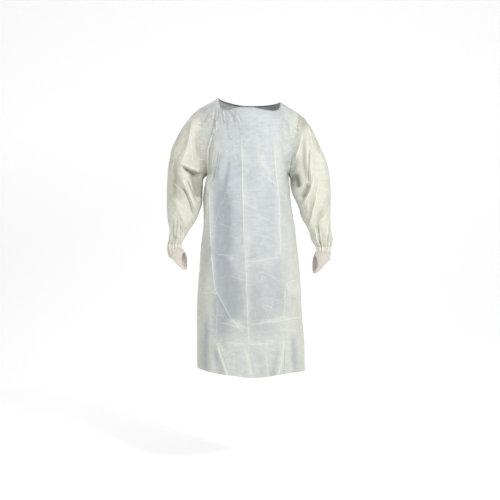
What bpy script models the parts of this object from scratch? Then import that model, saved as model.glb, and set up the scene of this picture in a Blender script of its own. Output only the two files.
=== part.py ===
"""Isolation gown that goes on over the head: open back, waist ties, thumb cuffs.

Metres, +Z up. The front faces -Y and the right sleeve is on the -X side. The origin is
midway between the two neck points of the shoulder seams, where the gown is held up.
"""
import math

import bmesh
import bpy
import numpy as np
from mathutils import Vector


def table(columns, *rows):
    """Rows of sizes under named columns, as one array for each column."""
    values = np.array(rows, float)
    return {name: values[:, index] for index, name in enumerate(columns.split())}


# Shading turns sharp past this angle
SHARP_ANGLE = math.radians(55)

# A length or number too small to matter
TINY = 1e-9

# Cloth and seams
WALL = 0.0015
SEAM_GAP = 0.0003
SLEEVE_CLEARANCE = 0.0016

# Cells of each piece, and points on a line before it is divided
FINE_STEPS = 181
SHOULDER_COLUMNS = 4
NECK_COLUMNS = 24
BACK_NECK_COLUMNS = 8
BODY_ROWS = 22
YOKE_ROWS = 14
SLEEVE_ROWS = 20
BAND_ROWS = 1

# Torso, read at level sections: side seams, front and back depth, squareness of each half
UNDERARM = -0.310
HEM = -1.100
TORSO = table(
    "height  right_side  left_side  front   back   front_square  back_square",
    (-1.100, -0.2175, 0.2255, -0.168, 0.150, 2.30, 2.20),
    (-0.990, -0.2175, 0.2214, -0.158, 0.146, 2.30, 2.20),
    (-0.870, -0.2173, 0.2120, -0.150, 0.142, 2.30, 2.20),
    (-0.770, -0.2132, 0.2080, -0.146, 0.136, 2.35, 2.20),
    (-0.670, -0.2050, 0.2005, -0.141, 0.124, 2.40, 2.25),
    (-0.600, -0.2005, 0.1930, -0.137, 0.112, 2.40, 2.25),
    (-0.525, -0.1910, 0.1845, -0.135, 0.110, 2.40, 2.30),
    (-0.450, -0.1905, 0.1720, -0.133, 0.114, 2.40, 2.35),
    (-0.390, -0.1915, 0.1640, -0.131, 0.118, 2.40, 2.40),
    (-0.345, -0.1840, 0.1610, -0.129, 0.120, 2.40, 2.40),
    (-0.310, -0.1760, 0.1580, -0.127, 0.121, 2.40, 2.40),
)
HEM_LINE = table(
    "x       front    back",
    (-0.217, -1.091, -1.093),
    (-0.158, -1.099, -1.099),
    (-0.117, -1.104, -1.101),
    (-0.060, -1.109, -1.099),
    (0.000, -1.116, -1.096),
    (0.060, -1.113, -1.099),
    (0.117, -1.105, -1.103),
    (0.165, -1.101, -1.106),
    (0.225, -1.104, -1.104),
)

# Neckline, from the right neck point round the front and round the nape
RIGHT_NECK_POINT = (-0.127, 0.0, 0.0082)
LEFT_NECK_POINT = (0.123, 0.0, -0.0082)
FRONT_NECKLINE = table(
    "x       y        z",
    (-0.127, 0.000, 0.0082),
    (-0.125, -0.030, -0.0240),
    (-0.115, -0.053, -0.0440),
    (-0.094, -0.070, -0.0520),
    (-0.044, -0.088, -0.0448),
    (0.008, -0.092, -0.0450),
    (0.060, -0.086, -0.0542),
    (0.095, -0.068, -0.0558),
    (0.114, -0.045, -0.0460),
    (0.123, 0.000, -0.0082),
)
NAPE_DEPTH = 0.078
NAPE_HEIGHT = -0.012
SEAMED_NAPE_ROWS = 5

# How far across the yoke the armholes pull it, and how softly
ARMHOLE_REACH = 0.2
ARMHOLE_EASE = 1.6
SIDE_TO_RING_START = 0.08
SIDE_TO_RING_RISE = 0.35

# Back opening: seamed at the nape, then parting down to the hem
BACK_OPENING = table(
    "height  half_gap",
    (-1.110, 0.0340),
    (-0.900, 0.0230),
    (-0.700, 0.0110),
    (-0.560, 0.0045),
    (-0.400, 0.0060),
    (-0.250, 0.0040),
    (-0.105, SEAM_GAP / 2),
    (0.000, SEAM_GAP / 2),
)

# Arms, ring by ring from the armhole: outer and inner line, forward lean, half depth.
# The last five rings are the hand cover below the elastic.
ARM_COLUMNS = "outer_x  outer_z  inner_x  inner_z  centre_y  half_depth"
RIGHT_ARM = table(
    ARM_COLUMNS,
    (-0.205, -0.033, -0.176, -0.310, 0.000, 0.065),
    (-0.227, -0.050, -0.188, -0.322, -0.004, 0.066),
    (-0.257, -0.088, -0.191, -0.337, -0.012, 0.067),
    (-0.289, -0.142, -0.192, -0.353, -0.020, 0.067),
    (-0.317, -0.200, -0.192, -0.369, -0.026, 0.066),
    (-0.330, -0.261, -0.192, -0.387, -0.029, 0.064),
    (-0.335, -0.326, -0.191, -0.408, -0.030, 0.062),
    (-0.337, -0.391, -0.194, -0.430, -0.030, 0.060),
    (-0.337, -0.440, -0.204, -0.458, -0.031, 0.057),
    (-0.335, -0.489, -0.219, -0.495, -0.033, 0.052),
    (-0.329, -0.530, -0.247, -0.534, -0.036, 0.044),
    (-0.330, -0.560, -0.262, -0.560, -0.038, 0.036),
    (-0.332, -0.591, -0.276, -0.591, -0.040, 0.028),
    (-0.333, -0.607, -0.276, -0.608, -0.041, 0.026),
    (-0.334, -0.621, -0.264, -0.623, -0.042, 0.026),
    (-0.331, -0.639, -0.256, -0.643, -0.043, 0.027),
    (-0.326, -0.664, -0.254, -0.668, -0.044, 0.026),
    (-0.320, -0.700, -0.257, -0.700, -0.045, 0.024),
)
LEFT_ARM = table(
    ARM_COLUMNS,
    (0.200, -0.056, 0.158, -0.310, 0.000, 0.065),
    (0.217, -0.066, 0.165, -0.322, -0.004, 0.066),
    (0.245, -0.104, 0.166, -0.337, -0.012, 0.067),
    (0.271, -0.158, 0.166, -0.354, -0.020, 0.067),
    (0.291, -0.204, 0.168, -0.371, -0.026, 0.066),
    (0.313, -0.261, 0.173, -0.389, -0.029, 0.064),
    (0.325, -0.322, 0.187, -0.416, -0.030, 0.062),
    (0.329, -0.379, 0.199, -0.446, -0.030, 0.060),
    (0.329, -0.428, 0.207, -0.477, -0.031, 0.057),
    (0.326, -0.481, 0.227, -0.513, -0.033, 0.052),
    (0.327, -0.530, 0.242, -0.544, -0.036, 0.044),
    (0.337, -0.568, 0.249, -0.574, -0.038, 0.036),
    (0.330, -0.602, 0.268, -0.604, -0.040, 0.028),
    (0.326, -0.619, 0.269, -0.620, -0.041, 0.026),
    (0.328, -0.631, 0.259, -0.635, -0.042, 0.026),
    (0.326, -0.651, 0.253, -0.654, -0.043, 0.027),
    (0.324, -0.676, 0.251, -0.680, -0.044, 0.026),
    (0.318, -0.710, 0.254, -0.712, -0.045, 0.024),
)
BAND_TOP_RING = 12
BAND_FOOT_RING = 13

# Wrist gathers
GATHERS = YOKE_ROWS
GATHER_DEPTH = 0.0014
GATHER_LENGTH = 0.060
CUFF_GATHER_LENGTH = 0.022
FRONT_SHARE = 0.35
SLEEVE_CLEAR_START = 0.012
BAND_WALL = 0.0020

# Hand cover: how far it reaches below the band, and its thumb hole (angles from the outer side)
CUFF_SHORT = 0.040
CUFF_LONG = 0.090
CUFF_SLANT_END = 0.80
CUFF_ROW_SHARES = (0.0, 0.09, 0.20, 0.36, 0.52, 0.68, 0.80, 0.89, 1.0)
HOLE_ANGLE = math.radians(154)
HOLE_HALF_COLUMNS = 3
HOLE_FIRST_ROW = 2
HOLE_LAST_ROW = 7
HOLE_ROUNDING = 2.0

# Waist ties, on the back: the row of cells and the columns of the panel that they lie on
TIE_ROW = 14
TIE_FIRST_COLUMN = 4
TIE_LAST_COLUMN = 11
TIE_WALL = 0.0012
TIE_HALF_WIDTH = 0.011
TIE_TAILS = {"waist_tie_right": 0.175, "waist_tie_left": 0.150}
TAIL_STEPS = 6
TAIL_DRIFT = 0.030
TAIL_DRIFT_CURVE = 1.5
TAIL_STAND_OFF = 0.006

# Half knot: the left tie runs down through the loop of the right one
KNOT_STAND_OFF = 0.0135
KNOT_HALF_DEPTH = 0.0012
KNOT_CORE = table(
    "x       drop",
    (0.0045, -0.0055),
    (0.0008, -0.0020),
    (0.0000, 0.0035),
    (0.0000, 0.0100),
    (0.0000, 0.0205),
)
LOOP_RADIUS = 0.0078
LOOP_START = math.pi
LOOP_END = -1.5 * math.pi
LOOP_TOP = 0.0020
LOOP_FOOT = 0.0165
LOOP_STEPS = 14

# Width of a tie, as a share of the full one: entering the knot, in it, and opening below it
TIE_PINCH = 0.60
KNOT_PINCH = 0.33
TAIL_PINCH = 0.70
TAIL_OPENING = 0.15

# Creases, read in elevation: from head to foot, sideways bow, half width, height out (+) or in (-)
CREASE_COLUMNS = "x_head  z_head  x_foot  z_foot  bow  half_width  height"
CREASE_END = 0.25
CREASE_SEAM_REACH = 0.035
FRONT_CREASES = table(
    CREASE_COLUMNS,
    (-0.090, -0.200, -0.088, -1.060, 0.004, 0.026, -0.0080),
    (-0.145, -0.150, -0.168, -0.300, 0.010, 0.016, 0.0040),
    (-0.168, -0.260, -0.156, -0.640, -0.004, 0.015, 0.0045),
    (-0.156, -0.600, -0.118, -0.830, -0.008, 0.016, 0.0045),
    (0.098, -0.160, 0.116, -0.420, 0.004, 0.016, 0.0040),
    (0.114, -0.380, 0.120, -0.660, 0.000, 0.016, 0.0040),
    (-0.036, -0.120, -0.008, -1.060, 0.003, 0.013, 0.0025),
    (-0.090, -0.056, -0.034, -0.190, 0.012, 0.012, -0.0040),
    (-0.118, -0.060, -0.090, -0.200, 0.010, 0.012, -0.0030),
    (0.030, -0.225, 0.100, -0.330, -0.010, 0.018, 0.0035),
    (-0.130, -0.636, -0.060, -0.650, 0.003, 0.013, 0.0030),
    (0.000, -0.648, 0.125, -0.624, 0.010, 0.014, 0.0040),
    (-0.120, -0.890, -0.020, -0.925, 0.008, 0.014, 0.0045),
    (-0.005, -0.915, 0.195, -0.885, 0.008, 0.014, 0.0050),
    (-0.115, -0.990, 0.090, -0.985, 0.004, 0.013, 0.0030),
    (-0.115, -0.790, -0.045, -0.925, -0.010, 0.015, 0.0040),
    (0.140, -0.760, 0.196, -0.735, -0.030, 0.018, 0.0040),
    (-0.142, -0.960, -0.112, -1.150, 0.004, 0.015, 0.0070),
    (-0.120, -0.980, -0.088, -1.150, 0.004, 0.014, -0.0070),
    (0.140, -0.950, 0.100, -1.150, -0.004, 0.015, 0.0060),
    (0.122, -0.980, 0.084, -1.150, -0.004, 0.013, -0.0060),
    (-0.030, -0.990, 0.012, -1.160, 0.006, 0.014, 0.0050),
    (0.030, -1.010, 0.046, -1.160, 0.004, 0.013, -0.0040),
    (0.175, -0.930, 0.182, -1.150, 0.000, 0.014, -0.0050),
    (-0.178, -0.860, -0.184, -1.150, 0.000, 0.015, -0.0050),
)
BACK_CREASES = table(
    CREASE_COLUMNS,
    (-0.100, -0.060, -0.070, -0.420, 0.010, 0.018, -0.0050),
    (0.100, -0.080, 0.074, -0.440, -0.010, 0.018, -0.0050),
    (-0.150, -0.240, -0.105, -0.545, -0.012, 0.016, 0.0045),
    (0.142, -0.240, 0.105, -0.545, 0.012, 0.016, 0.0045),
    (-0.118, -0.590, -0.165, -1.020, 0.012, 0.020, 0.0070),
    (0.118, -0.590, 0.168, -1.020, -0.012, 0.020, 0.0070),
    (-0.075, -0.600, -0.095, -1.160, 0.006, 0.022, -0.0080),
    (0.075, -0.600, 0.100, -1.160, -0.006, 0.022, -0.0080),
    (-0.175, -0.640, -0.186, -1.150, 0.004, 0.018, -0.0060),
    (0.175, -0.650, 0.186, -1.150, -0.004, 0.018, -0.0060),
    (-0.130, -0.860, -0.128, -1.160, 0.000, 0.014, 0.0060),
    (0.135, -0.880, 0.138, -1.160, 0.000, 0.014, 0.0060),
)
RIGHT_SLEEVE_CREASES = table(
    CREASE_COLUMNS,
    (-0.225, -0.075, -0.276, -0.290, 0.010, 0.014, 0.0065),
    (-0.290, -0.262, -0.188, -0.312, -0.006, 0.012, 0.0080),
    (-0.238, -0.270, -0.196, -0.420, 0.000, 0.020, -0.0130),
    (-0.282, -0.285, -0.212, -0.440, 0.006, 0.013, 0.0060),
    (-0.262, -0.320, -0.212, -0.500, 0.008, 0.013, -0.0050),
    (-0.308, -0.380, -0.245, -0.520, 0.008, 0.014, 0.0050),
    (-0.305, -0.440, -0.262, -0.560, 0.006, 0.012, -0.0050),
    (-0.315, -0.520, -0.275, -0.590, 0.003, 0.010, 0.0035),
    (-0.205, -0.100, -0.200, -0.260, -0.006, 0.012, -0.0060),
    (-0.312, -0.210, -0.318, -0.420, 0.008, 0.014, -0.0040),
)
LEFT_SLEEVE_CREASES = table(
    CREASE_COLUMNS,
    (0.228, -0.095, 0.246, -0.360, -0.012, 0.013, 0.0070),
    (0.218, -0.120, 0.232, -0.360, -0.012, 0.013, -0.0060),
    (0.250, -0.330, 0.200, -0.445, -0.008, 0.012, 0.0075),
    (0.232, -0.330, 0.186, -0.420, -0.006, 0.012, -0.0070),
    (0.205, -0.120, 0.184, -0.260, 0.006, 0.013, 0.0060),
    (0.196, -0.230, 0.192, -0.330, 0.000, 0.016, -0.0090),
    (0.278, -0.390, 0.244, -0.540, -0.006, 0.013, 0.0060),
    (0.300, -0.440, 0.268, -0.560, -0.006, 0.014, -0.0050),
    (0.312, -0.470, 0.268, -0.525, 0.000, 0.012, 0.0040),
    (0.295, -0.560, 0.325, -0.530, -0.004, 0.011, 0.0040),
)
BACK_SLEEVE_CREASES = table(
    CREASE_COLUMNS,
    (0.226, -0.110, 0.238, -0.380, -0.010, 0.016, 0.0060),
    (0.262, -0.180, 0.205, -0.400, -0.010, 0.015, -0.0060),
    (0.300, -0.260, 0.230, -0.440, -0.008, 0.015, 0.0055),
    (0.312, -0.360, 0.250, -0.500, -0.006, 0.014, -0.0055),
    (0.315, -0.460, 0.262, -0.550, -0.004, 0.012, 0.0045),
)

# Colour, roughness, metallic value
FINISHES = {
    "gown_cloth": ((0.84, 0.85, 0.76, 1.0), 0.82, 0.0),
    "sleeve_cloth": ((0.86, 0.84, 0.70, 1.0), 0.82, 0.0),
    "elastic_casing": ((0.89, 0.88, 0.76, 1.0), 0.75, 0.0),
    "cuff_cloth": ((0.82, 0.78, 0.68, 1.0), 0.84, 0.0),
    "tie_cloth": ((0.85, 0.84, 0.72, 1.0), 0.80, 0.0),
}


def smooth_step(value):
    """0 below 0, 1 above 1, with a soft rise between."""
    part = np.clip(value, 0.0, 1.0)
    return part * part * (3.0 - 2.0 * part)


def unit(vectors):
    """The same directions with a length of 1."""
    return vectors / np.maximum(np.linalg.norm(vectors, axis=-1, keepdims=True), TINY)


def through(knots, values, at):
    """A curve without corners through values, which are given at rising knots."""
    knots = np.asarray(knots, float)
    values = np.asarray(values, float)
    slopes = np.gradient(values, knots)
    at = np.clip(at, knots[0], knots[-1])
    low = np.clip(np.searchsorted(knots, at) - 1, 0, len(knots) - 2)
    span = knots[low + 1] - knots[low]
    part = (at - knots[low]) / span
    rise = part * part * (3.0 - 2.0 * part)
    leaving = part * (1.0 - part) ** 2 * span * slopes[low]
    arriving = part * part * (1.0 - part) * span * slopes[low + 1]
    return values[low] + (values[low + 1] - values[low]) * rise + leaving - arriving


def evenly(line, columns):
    """columns + 1 points at equal steps along a line of points."""
    steps = np.linalg.norm(np.diff(line, axis=0), axis=1)
    reach = np.concatenate([[0.0], np.cumsum(steps)])
    places = np.linspace(0.0, reach[-1], columns + 1)
    return np.stack([np.interp(places, reach, line[:, axis]) for axis in range(3)], axis=1)


def relief(points, creases, mirrored=False):
    """How far the creases lift each point, read in front elevation."""
    lift = np.zeros(points.shape[:-1])
    names = CREASE_COLUMNS.split()
    for x_head, z_head, x_foot, z_foot, bow, half_width, height in zip(*(creases[n] for n in names)):
        if mirrored:
            x_head, x_foot, bow = -x_head, -x_foot, -bow
        run = np.array([x_foot - x_head, z_foot - z_head])
        length = np.hypot(*run)
        way = run / length
        from_head = points[..., [0, 2]] - np.array([x_head, z_head])
        along = from_head @ way / length
        across = from_head @ np.array([-way[1], way[0]]) - bow * 4.0 * along * (1.0 - along)
        ends = smooth_step(np.minimum(along, 1.0 - along) / CREASE_END)
        lift += height * ends * np.exp(-((across / half_width) ** 2))
    return lift


def grid_normals(points, wraps):
    """Unit normals of a grid of points, whose columns may wrap round a tube."""
    down_rows = np.gradient(points, axis=0)
    if wraps:
        along_row = np.roll(points, -1, axis=1) - np.roll(points, 1, axis=1)
    else:
        along_row = np.gradient(points, axis=1)
    return unit(np.cross(along_row, down_rows))


def material(name):
    """A plain Principled material from the table of finishes."""
    colour, roughness, metallic = FINISHES[name]
    made = bpy.data.materials.get(name) or bpy.data.materials.new(name)
    made.use_nodes = True
    shader = made.node_tree.nodes["Principled BSDF"]
    shader.inputs["Base Color"].default_value = colour
    shader.inputs["Roughness"].default_value = roughness
    shader.inputs["Metallic"].default_value = metallic
    return made


def wall(name, outer, inner, finish, wraps=False, left_out=(), place=(0.0, 0.0, 0.0)):
    """One closed cloth wall between an outer and an inner grid, less the cells left out."""
    rows, columns = outer.shape[:2]
    cells_across = columns if wraps else columns - 1
    form = bmesh.new()
    sides = []
    for grid in (outer, inner):
        shifted = grid - np.array(place)
        sides.append([[form.verts.new(Vector(point)) for point in row] for row in shifted])
    kept = {
        (row, column)
        for row in range(rows - 1)
        for column in range(cells_across)
        if (row, column) not in left_out
    }

    def beside(row, column):
        return (row, column % columns if wraps else column)

    for row, column in sorted(kept):
        corners = [
            (row, column),
            (row, (column + 1) % columns),
            (row + 1, (column + 1) % columns),
            (row + 1, column),
        ]
        form.faces.new([sides[0][r][c] for r, c in corners])
        form.faces.new([sides[1][r][c] for r, c in reversed(corners)])
        neighbours = [
            beside(row - 1, column),
            beside(row, column + 1),
            beside(row + 1, column),
            beside(row, column - 1),
        ]
        for edge, neighbour in enumerate(neighbours):
            if neighbour in kept:
                continue
            first, second = corners[edge], corners[(edge + 1) % 4]
            form.faces.new(
                [
                    sides[0][second[0]][second[1]],
                    sides[0][first[0]][first[1]],
                    sides[1][first[0]][first[1]],
                    sides[1][second[0]][second[1]],
                ]
            )
    unused = [vertex for vertex in form.verts if not vertex.link_faces]
    bmesh.ops.delete(form, geom=unused, context="VERTS")
    mesh = bpy.data.meshes.new(name)
    form.to_mesh(mesh)
    form.free()
    mesh.shade_smooth()
    mesh.set_sharp_from_angle(angle=SHARP_ANGLE)
    mesh.materials.append(material(finish))
    piece = bpy.data.objects.new(name, mesh)
    piece.location = place
    bpy.context.scene.collection.objects.link(piece)
    return piece


def torso_size(column, height):
    """One size of the torso at a height."""
    return through(TORSO["height"], TORSO[column], height)


def torso_section(height, half):
    """Half a level section, front or back, as points from the right side seam to the left."""
    right_side = torso_size("right_side", height)
    left_side = torso_size("left_side", height)
    depth = torso_size(half, height)
    square = 2.0 / torso_size(half + "_square", height)
    angles = np.linspace(-math.pi / 2, math.pi / 2, FINE_STEPS)
    sines = np.sin(angles)
    middle, half_width = (right_side + left_side) / 2, (left_side - right_side) / 2
    x = middle + half_width * np.sign(sines) * np.abs(sines) ** square
    y = depth * np.abs(np.cos(angles)) ** square
    return np.stack([x, y, np.full_like(x, height)], axis=1)


def torso_side(y, height, side):
    """The x of the torso's side at a depth y, on the right (-1) or the left (+1)."""
    right_side = torso_size("right_side", height)
    left_side = torso_size("left_side", height)
    depth = np.where(y < 0, torso_size("front", height), torso_size("back", height))
    square = np.where(y < 0, torso_size("front_square", height), torso_size("back_square", height))
    middle, half_width = (right_side + left_side) / 2, (left_side - right_side) / 2
    share = np.clip(np.abs(y / depth), 0.0, 1.0)
    return middle + side * half_width * (1.0 - share**square) ** (1.0 / square)


def armhole_frame(arm):
    """Centre, half height as a vector, and half depth of an armhole."""
    top = np.array([arm["outer_x"][0], 0.0, arm["outer_z"][0]])
    foot = np.array([arm["inner_x"][0], 0.0, arm["inner_z"][0]])
    return (top + foot) / 2, (top - foot) / 2, arm["half_depth"][0]


def armhole_edge(arm, facing):
    """Half an armhole from the underarm to the shoulder, in front (-1) or behind (+1).

    Gives its points and the directions out of the ring, within the ring's own plane.
    """
    centre, up, half_depth = armhole_frame(arm)
    turns = np.linspace(math.pi, 0.0, YOKE_ROWS + 1)
    cosines, sines = np.cos(turns)[:, None], np.sin(turns)[:, None]
    depth_way = np.array([0.0, facing, 0.0])
    points = centre + up * cosines + half_depth * depth_way * sines
    half_height = np.linalg.norm(up)
    outward = up / half_height * cosines / half_height + depth_way * sines / half_depth
    return points, unit(outward)


def body_rows(half, columns_of, hem_of):
    """Rows of a panel from hem to underarm, each a level section set to the hem's line."""
    rows = []
    for part in np.linspace(0.0, 1.0, BODY_ROWS + 1):
        row = columns_of(torso_section(HEM + (UNDERARM - HEM) * part, half))
        hem = hem_of(row[:, 0])
        row[:, 2] = hem + (UNDERARM - hem) * part
        rows.append(row)
    return np.array(rows)


def yoke_rows(foot, head, edges):
    """Rows from the underarm section up to the shoulder and neck, fitted to the armholes.

    edges holds (side, points) with side -1 where the armhole is at the first column
    and +1 where it is at the last.
    """
    rows = []
    across = np.linspace(-1.0, 1.0, len(foot))
    for row in range(1, YOKE_ROWS + 1):
        turn = math.pi / 2 * row / YOKE_ROWS
        rise = np.array([row / YOKE_ROWS, 1.0 - math.cos(turn), math.sin(turn)])
        line = foot + (head - foot) * rise
        for side, points in edges:
            at = 0 if side < 0 else -1
            near = np.clip((side * across - ARMHOLE_REACH) / (1.0 - ARMHOLE_REACH), 0.0, 1.0)
            line = line + (near**ARMHOLE_EASE)[:, None] * (points[row] - line[at])
        rows.append(line)
    return np.array(rows)


def away_from(points, seams, reach):
    """0 on the seams and 1 beyond reach of them, for points of a grid."""
    flat = points.reshape(-1, 3)
    nearest = np.full(len(flat), np.inf)
    for seam in seams:
        for place in seam:
            nearest = np.minimum(nearest, np.linalg.norm(flat - place, axis=1))
    return smooth_step(nearest / reach).reshape(points.shape[:-1])


def neckline(sizes):
    """A smooth line through a neckline's table of points."""
    places = np.stack([sizes["x"], sizes["y"], sizes["z"]], axis=1)
    steps = np.concatenate([[0.0], np.cumsum(np.linalg.norm(np.diff(places, axis=0), axis=1))])
    fine = np.linspace(0.0, steps[-1], FINE_STEPS)
    return np.stack([through(steps, places[:, axis], fine) for axis in range(3)], axis=1)


def shoulder(arm, neck_point):
    """The shoulder seam, from the armhole's top to the neck point."""
    centre, up, _ = armhole_frame(arm)
    return evenly(np.array([centre + up, np.array(neck_point)]), SHOULDER_COLUMNS)


def hem_line(half):
    """The height of the hem at an x, in front or behind."""
    return lambda x: through(HEM_LINE["x"], HEM_LINE[half], x)


def side_direction(row, ring_way, side):
    """Outward direction at an armhole's edge: sideways at the underarm, then in the ring's plane."""
    turned = smooth_step((row / YOKE_ROWS - SIDE_TO_RING_START) / SIDE_TO_RING_RISE)
    return unit(ring_way * turned + np.array([side, 0.0, 0.0]) * (1.0 - turned))


def set_side_edge(normals, column, side, ring_ways):
    """Turn a panel's side column so that it meets the next piece face to face."""
    normals[: BODY_ROWS + 1, column, 1] = 0.0
    for row in range(YOKE_ROWS + 1):
        normals[BODY_ROWS + row, column] = side_direction(row, ring_ways[row], side)
    normals[:, column] = unit(normals[:, column])


def front_panel():
    """The front, hem to shoulders, with the neckline cut into its head."""
    right_neck = np.array(RIGHT_NECK_POINT)
    left_neck = np.array(LEFT_NECK_POINT)
    columns = 2 * SHOULDER_COLUMNS + NECK_COLUMNS
    lower = body_rows("front", lambda section: evenly(section, columns), hem_line("front"))
    right_shoulder = shoulder(RIGHT_ARM, right_neck)
    left_shoulder = shoulder(LEFT_ARM, left_neck)[::-1]
    neck = evenly(neckline(FRONT_NECKLINE), NECK_COLUMNS)
    head = np.concatenate([right_shoulder, neck[1:-1], left_shoulder])
    right_edge, right_ways = armhole_edge(RIGHT_ARM, -1.0)
    left_edge, left_ways = armhole_edge(LEFT_ARM, -1.0)
    upper = yoke_rows(lower[-1], head, [(-1, right_edge), (1, left_edge)])
    base = np.concatenate([lower, upper])
    seams = [base[:, 0], base[:, -1], right_shoulder, left_shoulder]
    lift = relief(base, FRONT_CREASES) * away_from(base, seams, CREASE_SEAM_REACH)
    outer = base + grid_normals(base, False) * lift[..., None]
    normals = grid_normals(outer, False)
    set_side_edge(normals, 0, -1.0, right_ways)
    set_side_edge(normals, -1, 1.0, left_ways)
    normals[-1, 1 : SHOULDER_COLUMNS + 1, 1] = 0.0
    normals[-1, -SHOULDER_COLUMNS - 1 : -1, 1] = 0.0
    outer = outer - np.array([0.0, SEAM_GAP / 2, 0.0])
    return wall("front", outer, outer - unit(normals) * WALL, "gown_cloth")


def half_gap(height):
    """Half the width of the back opening at a height."""
    return np.interp(height, BACK_OPENING["height"], BACK_OPENING["half_gap"])


def back_grids(side, arm, neck_point):
    """Outer and inner points of one half of the back, right (-1) or left (+1).

    The columns run from the side seam to the opening.
    """
    columns = SHOULDER_COLUMNS + BACK_NECK_COLUMNS

    def columns_of(section):
        edge = side * half_gap(section[0, 2])
        kept = section if side < 0 else section[::-1]
        inside = side * (kept[:, 0] - edge) > 0
        depth = np.interp(edge, section[:, 0], section[:, 1])
        return evenly(np.concatenate([kept[inside], [[edge, depth, section[0, 2]]]]), columns)

    lower = body_rows("back", columns_of, hem_line("back"))
    turns = np.linspace(0.0, math.pi / 2, FINE_STEPS)
    nape_x = side * half_gap(0.0)
    neck = np.stack(
        [
            nape_x + (neck_point[0] - nape_x) * np.cos(turns),
            NAPE_DEPTH * np.sin(turns),
            neck_point[2] + (NAPE_HEIGHT - neck_point[2]) * np.sin(turns) ** 2,
        ],
        axis=1,
    )
    shoulder_seam = shoulder(arm, neck_point)
    head = np.concatenate([shoulder_seam, evenly(neck, BACK_NECK_COLUMNS)[1:]])
    edge, ring_ways = armhole_edge(arm, 1.0)
    base = np.concatenate([lower, yoke_rows(lower[-1], head, [(-1, edge)])])
    base[:, -1, 0] = side * half_gap(base[:, -1, 2])
    seams = [base[:, 0], shoulder_seam, base[-SEAMED_NAPE_ROWS:, -1]]
    lift = relief(base, BACK_CREASES) * away_from(base, seams, CREASE_SEAM_REACH)
    outer = base + side * grid_normals(base, False) * lift[..., None]
    normals = side * grid_normals(outer, False)
    set_side_edge(normals, 0, side, ring_ways)
    normals[-1, 1 : SHOULDER_COLUMNS + 1, 1] = 0.0
    normals[:, -1, 0] = 0.0
    outer = outer + np.array([0.0, SEAM_GAP / 2, 0.0])
    return outer, outer - unit(normals) * WALL


def back_panel(name, side, grids):
    """One half of the back as a wall."""
    outer, inner = grids
    if side < 0:
        outer, inner = outer[:, ::-1], inner[:, ::-1]
    return wall(name, outer, inner, "gown_cloth")


def stations(arm):
    """How far along the arm each of its rings lies."""
    x = (arm["outer_x"] + arm["inner_x"]) / 2
    z = (arm["outer_z"] + arm["inner_z"]) / 2
    return np.concatenate([[0.0], np.cumsum(np.hypot(np.diff(x), np.diff(z)))])


def arm_points(arm, side, station, angle):
    """Points on the arm's tube at stations along it and angles round it from its outer line."""
    along = stations(arm)
    size = {name: through(along, arm[name], station) for name in ARM_COLUMNS.split()}
    cosine, sine = np.cos(angle), np.sin(angle)
    x = (size["outer_x"] + size["inner_x"]) / 2 + (size["outer_x"] - size["inner_x"]) / 2 * cosine
    z = (size["outer_z"] + size["inner_z"]) / 2 + (size["outer_z"] - size["inner_z"]) / 2 * cosine
    y = size["centre_y"] - side * size["half_depth"] * sine
    front_share = smooth_step(side * sine / FRONT_SHARE)
    back_share = smooth_step(-side * sine / FRONT_SHARE)
    return np.stack([x, y, z], axis=-1), front_share, back_share


def within_ring(ways, arm, station):
    """The part of each direction that lies in the plane of the arm's ring at a station."""
    along = stations(arm)
    size = {name: through(along, arm[name], station) for name in ARM_COLUMNS.split()}
    across = np.array([size["outer_x"] - size["inner_x"], 0.0, size["outer_z"] - size["inner_z"]])
    plane_way = unit(np.cross(across, np.array([0.0, 1.0, 0.0])))
    return unit(ways - (ways @ plane_way)[:, None] * plane_way)


def clear_of_torso(points, side, station):
    """Keep a sleeve's points just outside the torso's side."""
    limit = torso_side(points[..., 1], points[..., 2], side) + side * SLEEVE_CLEARANCE
    kept = points.copy()
    outside = np.maximum(side * points[..., 0], side * limit) * side
    share = smooth_step(station / SLEEVE_CLEAR_START)
    kept[..., 0] += (outside - points[..., 0]) * share
    return kept


def gathered(station, angle, start, finish):
    """The wave of the wrist gathers, growing from the start station to the finish one."""
    return GATHER_DEPTH * np.cos(GATHERS * angle) * smooth_step((station - start) / (finish - start))


def sleeve(name, side, arm, creases):
    """A sleeve from the armhole to the wrist, right (-1) or left (+1)."""
    columns = 2 * YOKE_ROWS
    end = stations(arm)[BAND_TOP_RING] - SEAM_GAP / 2
    angle = np.linspace(0.0, 2 * math.pi, columns, endpoint=False)[None, :]
    station = np.linspace(0.0, end, SLEEVE_ROWS + 1)[:, None] + 0.0 * angle
    angle = angle + 0.0 * station
    base, front_share, back_share = arm_points(arm, side, station, angle)
    lift = relief(base, creases) * front_share
    lift = lift + relief(base, BACK_SLEEVE_CREASES, mirrored=side < 0) * back_share
    lift = lift * smooth_step(station / CREASE_SEAM_REACH) * smooth_step((end - station) / CREASE_SEAM_REACH)
    lift = lift + gathered(station, angle, end - GATHER_LENGTH, end)
    ways = grid_normals(base, True)
    ways[-1] = within_ring(ways[-1], arm, end)
    outer = clear_of_torso(base + ways * lift[..., None], side, station)
    outer[..., 0] += side * SEAM_GAP
    normals = grid_normals(outer, True)
    normals[-1] = within_ring(normals[-1], arm, end)
    centre, up, half_depth = armhole_frame(arm)
    half_height = np.linalg.norm(up)
    cosine, sine = np.cos(angle[0])[:, None], np.sin(angle[0])[:, None]
    depth_way = np.array([0.0, -side, 0.0])
    normals[0] = unit(up / half_height**2 * cosine + depth_way * sine / half_depth)
    inner = outer - normals * WALL
    place = tuple(centre)
    return wall(name, outer, inner, "sleeve_cloth", wraps=True, place=place)


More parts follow.
